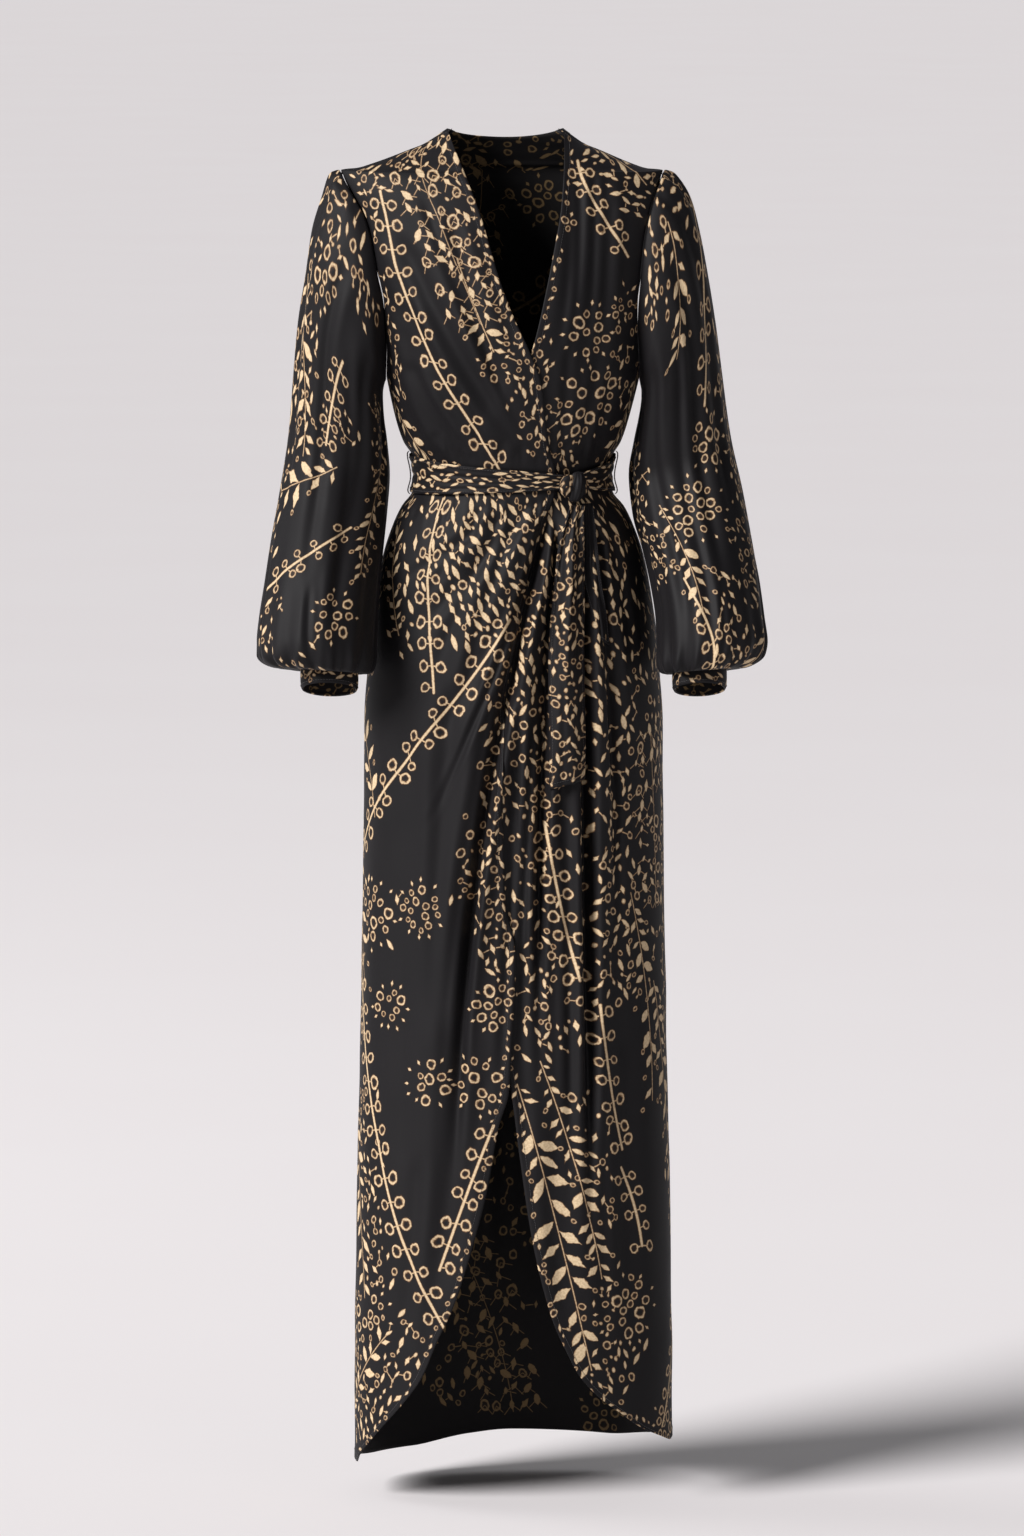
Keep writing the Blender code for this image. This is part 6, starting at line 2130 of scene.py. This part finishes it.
@dataclass
class Stitching:
    """Lines of machine stitches: short threads laid end to end along a seam."""

    name: str
    pitch: float = 0.0030
    length: float = 0.0023
    radius: float = 0.00022
    sides: int = 5
    lines: list[Grid] = field(default_factory=list)

    def sizes(self) -> dict[str, float]:
        """The sizes that the tree's inputs take."""
        return {"Pitch": self.pitch, "Stitch Length": self.length, "Thread Radius": self.radius}

    def tree(self, thread: bpy.types.Material) -> Tree:
        """Builds the nodes that lay one stitch at every pitch of each line."""
        tree = bpy.data.node_groups.new(f"{self.name}_tree", "GeometryNodeTree")
        face = tree.interface
        face.new_socket("Geometry", in_out="INPUT", socket_type="NodeSocketGeometry")
        for name in self.sizes():
            face.new_socket(name, in_out="INPUT", socket_type="NodeSocketFloat")
        face.new_socket("Geometry", in_out="OUTPUT", socket_type="NodeSocketGeometry")
        given = add_node(tree, "NodeGroupInput")
        curve = add_node(tree, "GeometryNodeMeshToCurve", {0: given})
        spaced = add_node(tree, "GeometryNodeResampleCurve",
                          {"Curve": curve, "Length": given.outputs["Pitch"]}, mode="LENGTH")
        stitch = add_node(tree, "GeometryNodeMeshCylinder", {
            "Vertices": self.sides, "Radius": given.outputs["Thread Radius"],
            "Depth": given.outputs["Stitch Length"]})
        tangent = add_node(tree, "GeometryNodeInputTangent")
        turned = add_node(tree, "FunctionNodeAlignEulerToVector", {"Vector": tangent}, axis="Z")
        placed = add_node(tree, "GeometryNodeInstanceOnPoints", {
            "Points": spaced, "Instance": stitch, "Rotation": turned})
        real = add_node(tree, "GeometryNodeRealizeInstances", {0: placed})
        dressed = add_node(tree, "GeometryNodeSetMaterial", {"Geometry": real, "Material": thread})
        add_node(tree, "NodeGroupOutput", {0: dressed})
        return tree

    def build(self, thread: bpy.types.Material) -> Piece:
        """Makes every line's stitches one plain mesh."""
        points = [tuple(p) for line in self.lines for p in line]
        edges, start = [], 0
        for line in self.lines:
            edges += [(start + i, start + i + 1) for i in range(len(line) - 1)]
            start += len(line)
        path = bpy.data.meshes.new(f"{self.name}_path")
        path.from_pydata(points, edges, [])
        guide = link_object(f"{self.name}_guide", path)
        modifier = guide.modifiers.new("stitches", "NODES")
        modifier.node_group = self.tree(thread)
        sizes = self.sizes()
        for item in modifier.node_group.interface.items_tree:
            if item.in_out == "INPUT" and item.name in sizes:
                modifier[item.identifier] = sizes[item.name]
        shown = guide.evaluated_get(bpy.context.evaluated_depsgraph_get())
        mesh = bpy.data.meshes.new_from_object(shown)
        mesh.name = self.name
        mesh.shade_smooth()
        bpy.data.objects.remove(guide, do_unlink=True)
        piece = link_object(self.name, mesh)
        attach(piece, "root")
        LOG.info("%s: %d faces", self.name, len(mesh.polygons))
        return piece


@dataclass
class ThreadCarrier:
    """A crocheted thread chain at a side seam, which keeps the belt in place."""

    side: Side
    half_height: float = 0.0235
    out: float = 0.0052
    clear: float = 0.0006
    links: int = 14
    link_sway: float = 0.00065
    link_rise: float = 0.00030
    strand_radius: float = 0.0005
    strand_wall: float = 0.0003

    def build(self, thread: bpy.types.Material) -> None:
        """Makes the chain: two strands that cross at every link."""
        rows, sides = 96, 7
        t = np.linspace(-1, 1, rows)
        z = WAIST_Z + BELT_RISE + self.half_height * t
        turn = np.full(rows, self.side.value * QUARTER)
        arch = (1 - np.abs(t) ** 8) * self.out + 3 * SEAM_GAP + self.clear
        line, normal = belt_outside(z, turn, arch)
        over = np.cross(normal, [0.0, 0.0, 1.0])
        parts = []
        for phase in (0.0, math.pi):
            swing = (self.links * math.pi * t + phase)[:, None]
            middle = line + over * self.link_sway * np.sin(swing) + normal * self.link_rise * np.cos(swing)
            angle = round_angles(sides)[None, :, None]
            ring = np.cos(angle) * over[:, None] + np.sin(angle) * normal[:, None]
            points = middle[:, None] + self.strand_radius * ring
            flat = np.zeros((rows, sides + 1, 2))
            parts.append(Shell("chain_strand", points, flat, ring, print_of("chain"), [thread],
                               self.strand_wall, True).build())
        node = f"belt_loop_{self.side.name.lower()}"
        stand_for(join_pieces(f"{node}_chain", parts), node)


class Lamp(NamedTuple):
    """A lamp: its Blender kind, place, aim, size in metres or degrees, and power."""

    name: str
    kind: str
    place: tuple[float, float, float]
    aim: tuple[float, float, float]
    size: float
    power: float
    colour: str = "#ffffff"


LAMPS = [
    Lamp("key_lamp", "SUN", (-4.4, -3.4, 2.9), (0.0, 0.0, -0.5), 26.0, 4.6, "#fffdfd"),
    Lamp("fill_lamp", "AREA", (4.0, -5.0, 0.6), (0.0, 0.0, -0.7), 3.4, 14.0),
    Lamp("side_lamp", "AREA", (-4.6, 1.6, 2.6), (-1.0, 1.6, -1.2), 3.0, 70.0),
]


@dataclass
class Studio:
    """A plain pale floor, soft lamps, pale surroundings and the camera."""

    floor_z: float = -1.455
    floor_reach: float = 90.0
    dimmed: float = 0.12
    lens: float = 224.5
    distance: float = 10.4
    camera_x: float = 0.0032
    camera_z: float = 0.5
    pitch: float = 6.325

    def build_floor(self) -> None:
        """Makes the floor, which runs out of sight on every side."""
        reach = self.floor_reach
        points = [(x * reach, y * reach, self.floor_z) for x, y in ((-1, -1), (1, -1), (1, 1), (-1, 1))]
        mesh = bpy.data.meshes.new("studio_floor")
        mesh.from_pydata(points, [], [(0, 1, 2, 3)])
        mesh.materials.append(StudioPaper().material())
        link_object("studio_floor", mesh)

    def lamp(self, lamp: Lamp) -> None:
        """Adds one soft lamp, aimed at its point."""
        light = bpy.data.lights.new(lamp.name, lamp.kind)
        light.energy, light.color = lamp.power, linear(lamp.colour)[:3]
        if lamp.kind == "SUN":
            light.angle = math.radians(lamp.size)
        else:
            light.size = lamp.size
        fitting = bpy.data.objects.new(lamp.name, light)
        ahead = np.array(lamp.aim) - np.array(lamp.place)
        level = math.hypot(ahead[0], ahead[1])
        fitting.rotation_euler = (math.atan2(level, -ahead[2]), 0.0, math.atan2(-ahead[0], ahead[1]))
        fitting.location = lamp.place
        bpy.context.scene.collection.objects.link(fitting)

    def surroundings(self) -> bpy.types.World:
        """Dim surroundings that light the shadows, seen as the floor's own pale grey."""
        world = bpy.data.worlds.new("studio_surroundings")
        world.use_nodes = True
        tree = world.node_tree
        tree.nodes.clear()
        dim = add_node(tree, "ShaderNodeBackground", {0: linear("#eeeef2"), 1: self.dimmed})
        seen = add_node(tree, "ShaderNodeBackground", {0: linear("#e2dfe0"), 1: 1.0})
        path = add_node(tree, "ShaderNodeLightPath")
        both = add_node(tree, "ShaderNodeMixShader", {0: path.outputs["Is Camera Ray"], 1: dim, 2: seen})
        add_node(tree, "ShaderNodeOutputWorld", {0: both})
        return world

    def build(self) -> None:
        """Makes the floor, the lamps, the surroundings and the camera."""
        self.build_floor()
        for lamp in LAMPS:
            self.lamp(lamp)
        scene = bpy.context.scene
        scene.world = self.surroundings()
        scene.view_settings.view_transform = "Standard"
        camera = bpy.data.cameras.new("camera")
        camera.sensor_fit, camera.sensor_height, camera.lens = "VERTICAL", 36.0, self.lens
        eye = bpy.data.objects.new("camera", camera)
        eye.location = (self.camera_x, -self.distance, self.camera_z)
        eye.rotation_euler = (math.radians(90 - self.pitch), 0.0, 0.0)
        camera.clip_end = 300.0
        scene.collection.objects.link(eye)
        scene.camera = eye


def main() -> None:
    """Builds the dress and its studio."""
    logging.basicConfig(level=logging.INFO, format="%(name)s: %(message)s")
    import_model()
    wardrobe = Wardrobe()
    Studio().build()
    cloth, thread = wardrobe.cloth, wardrobe.thread
    layers = [Bodice(), Skirt(), Belt()]
    for layer in layers:
        layer.build(cloth)
    for layer in layers:
        layer.declare()
    stitches = Stitching("seam_stitches", lines=[line for layer in layers for line in layer.stitch_lines()])
    for side in Side:
        sleeve = Sleeve(side)
        piece, cuff = sleeve.build(cloth), sleeve.build_cuff(cloth)
        Cut(f"sleeve_{sleeve.word}", *SLEEVE_SIZE).state(piece)
        Cut(f"cuff_{sleeve.word}", *CUFF_SIZE).state(cuff)
        ThreadCarrier(side).build(thread)
        stitches.lines += sleeve.stitch_lines()
    stitches.build(thread)


if __name__ == "__main__":
    main()
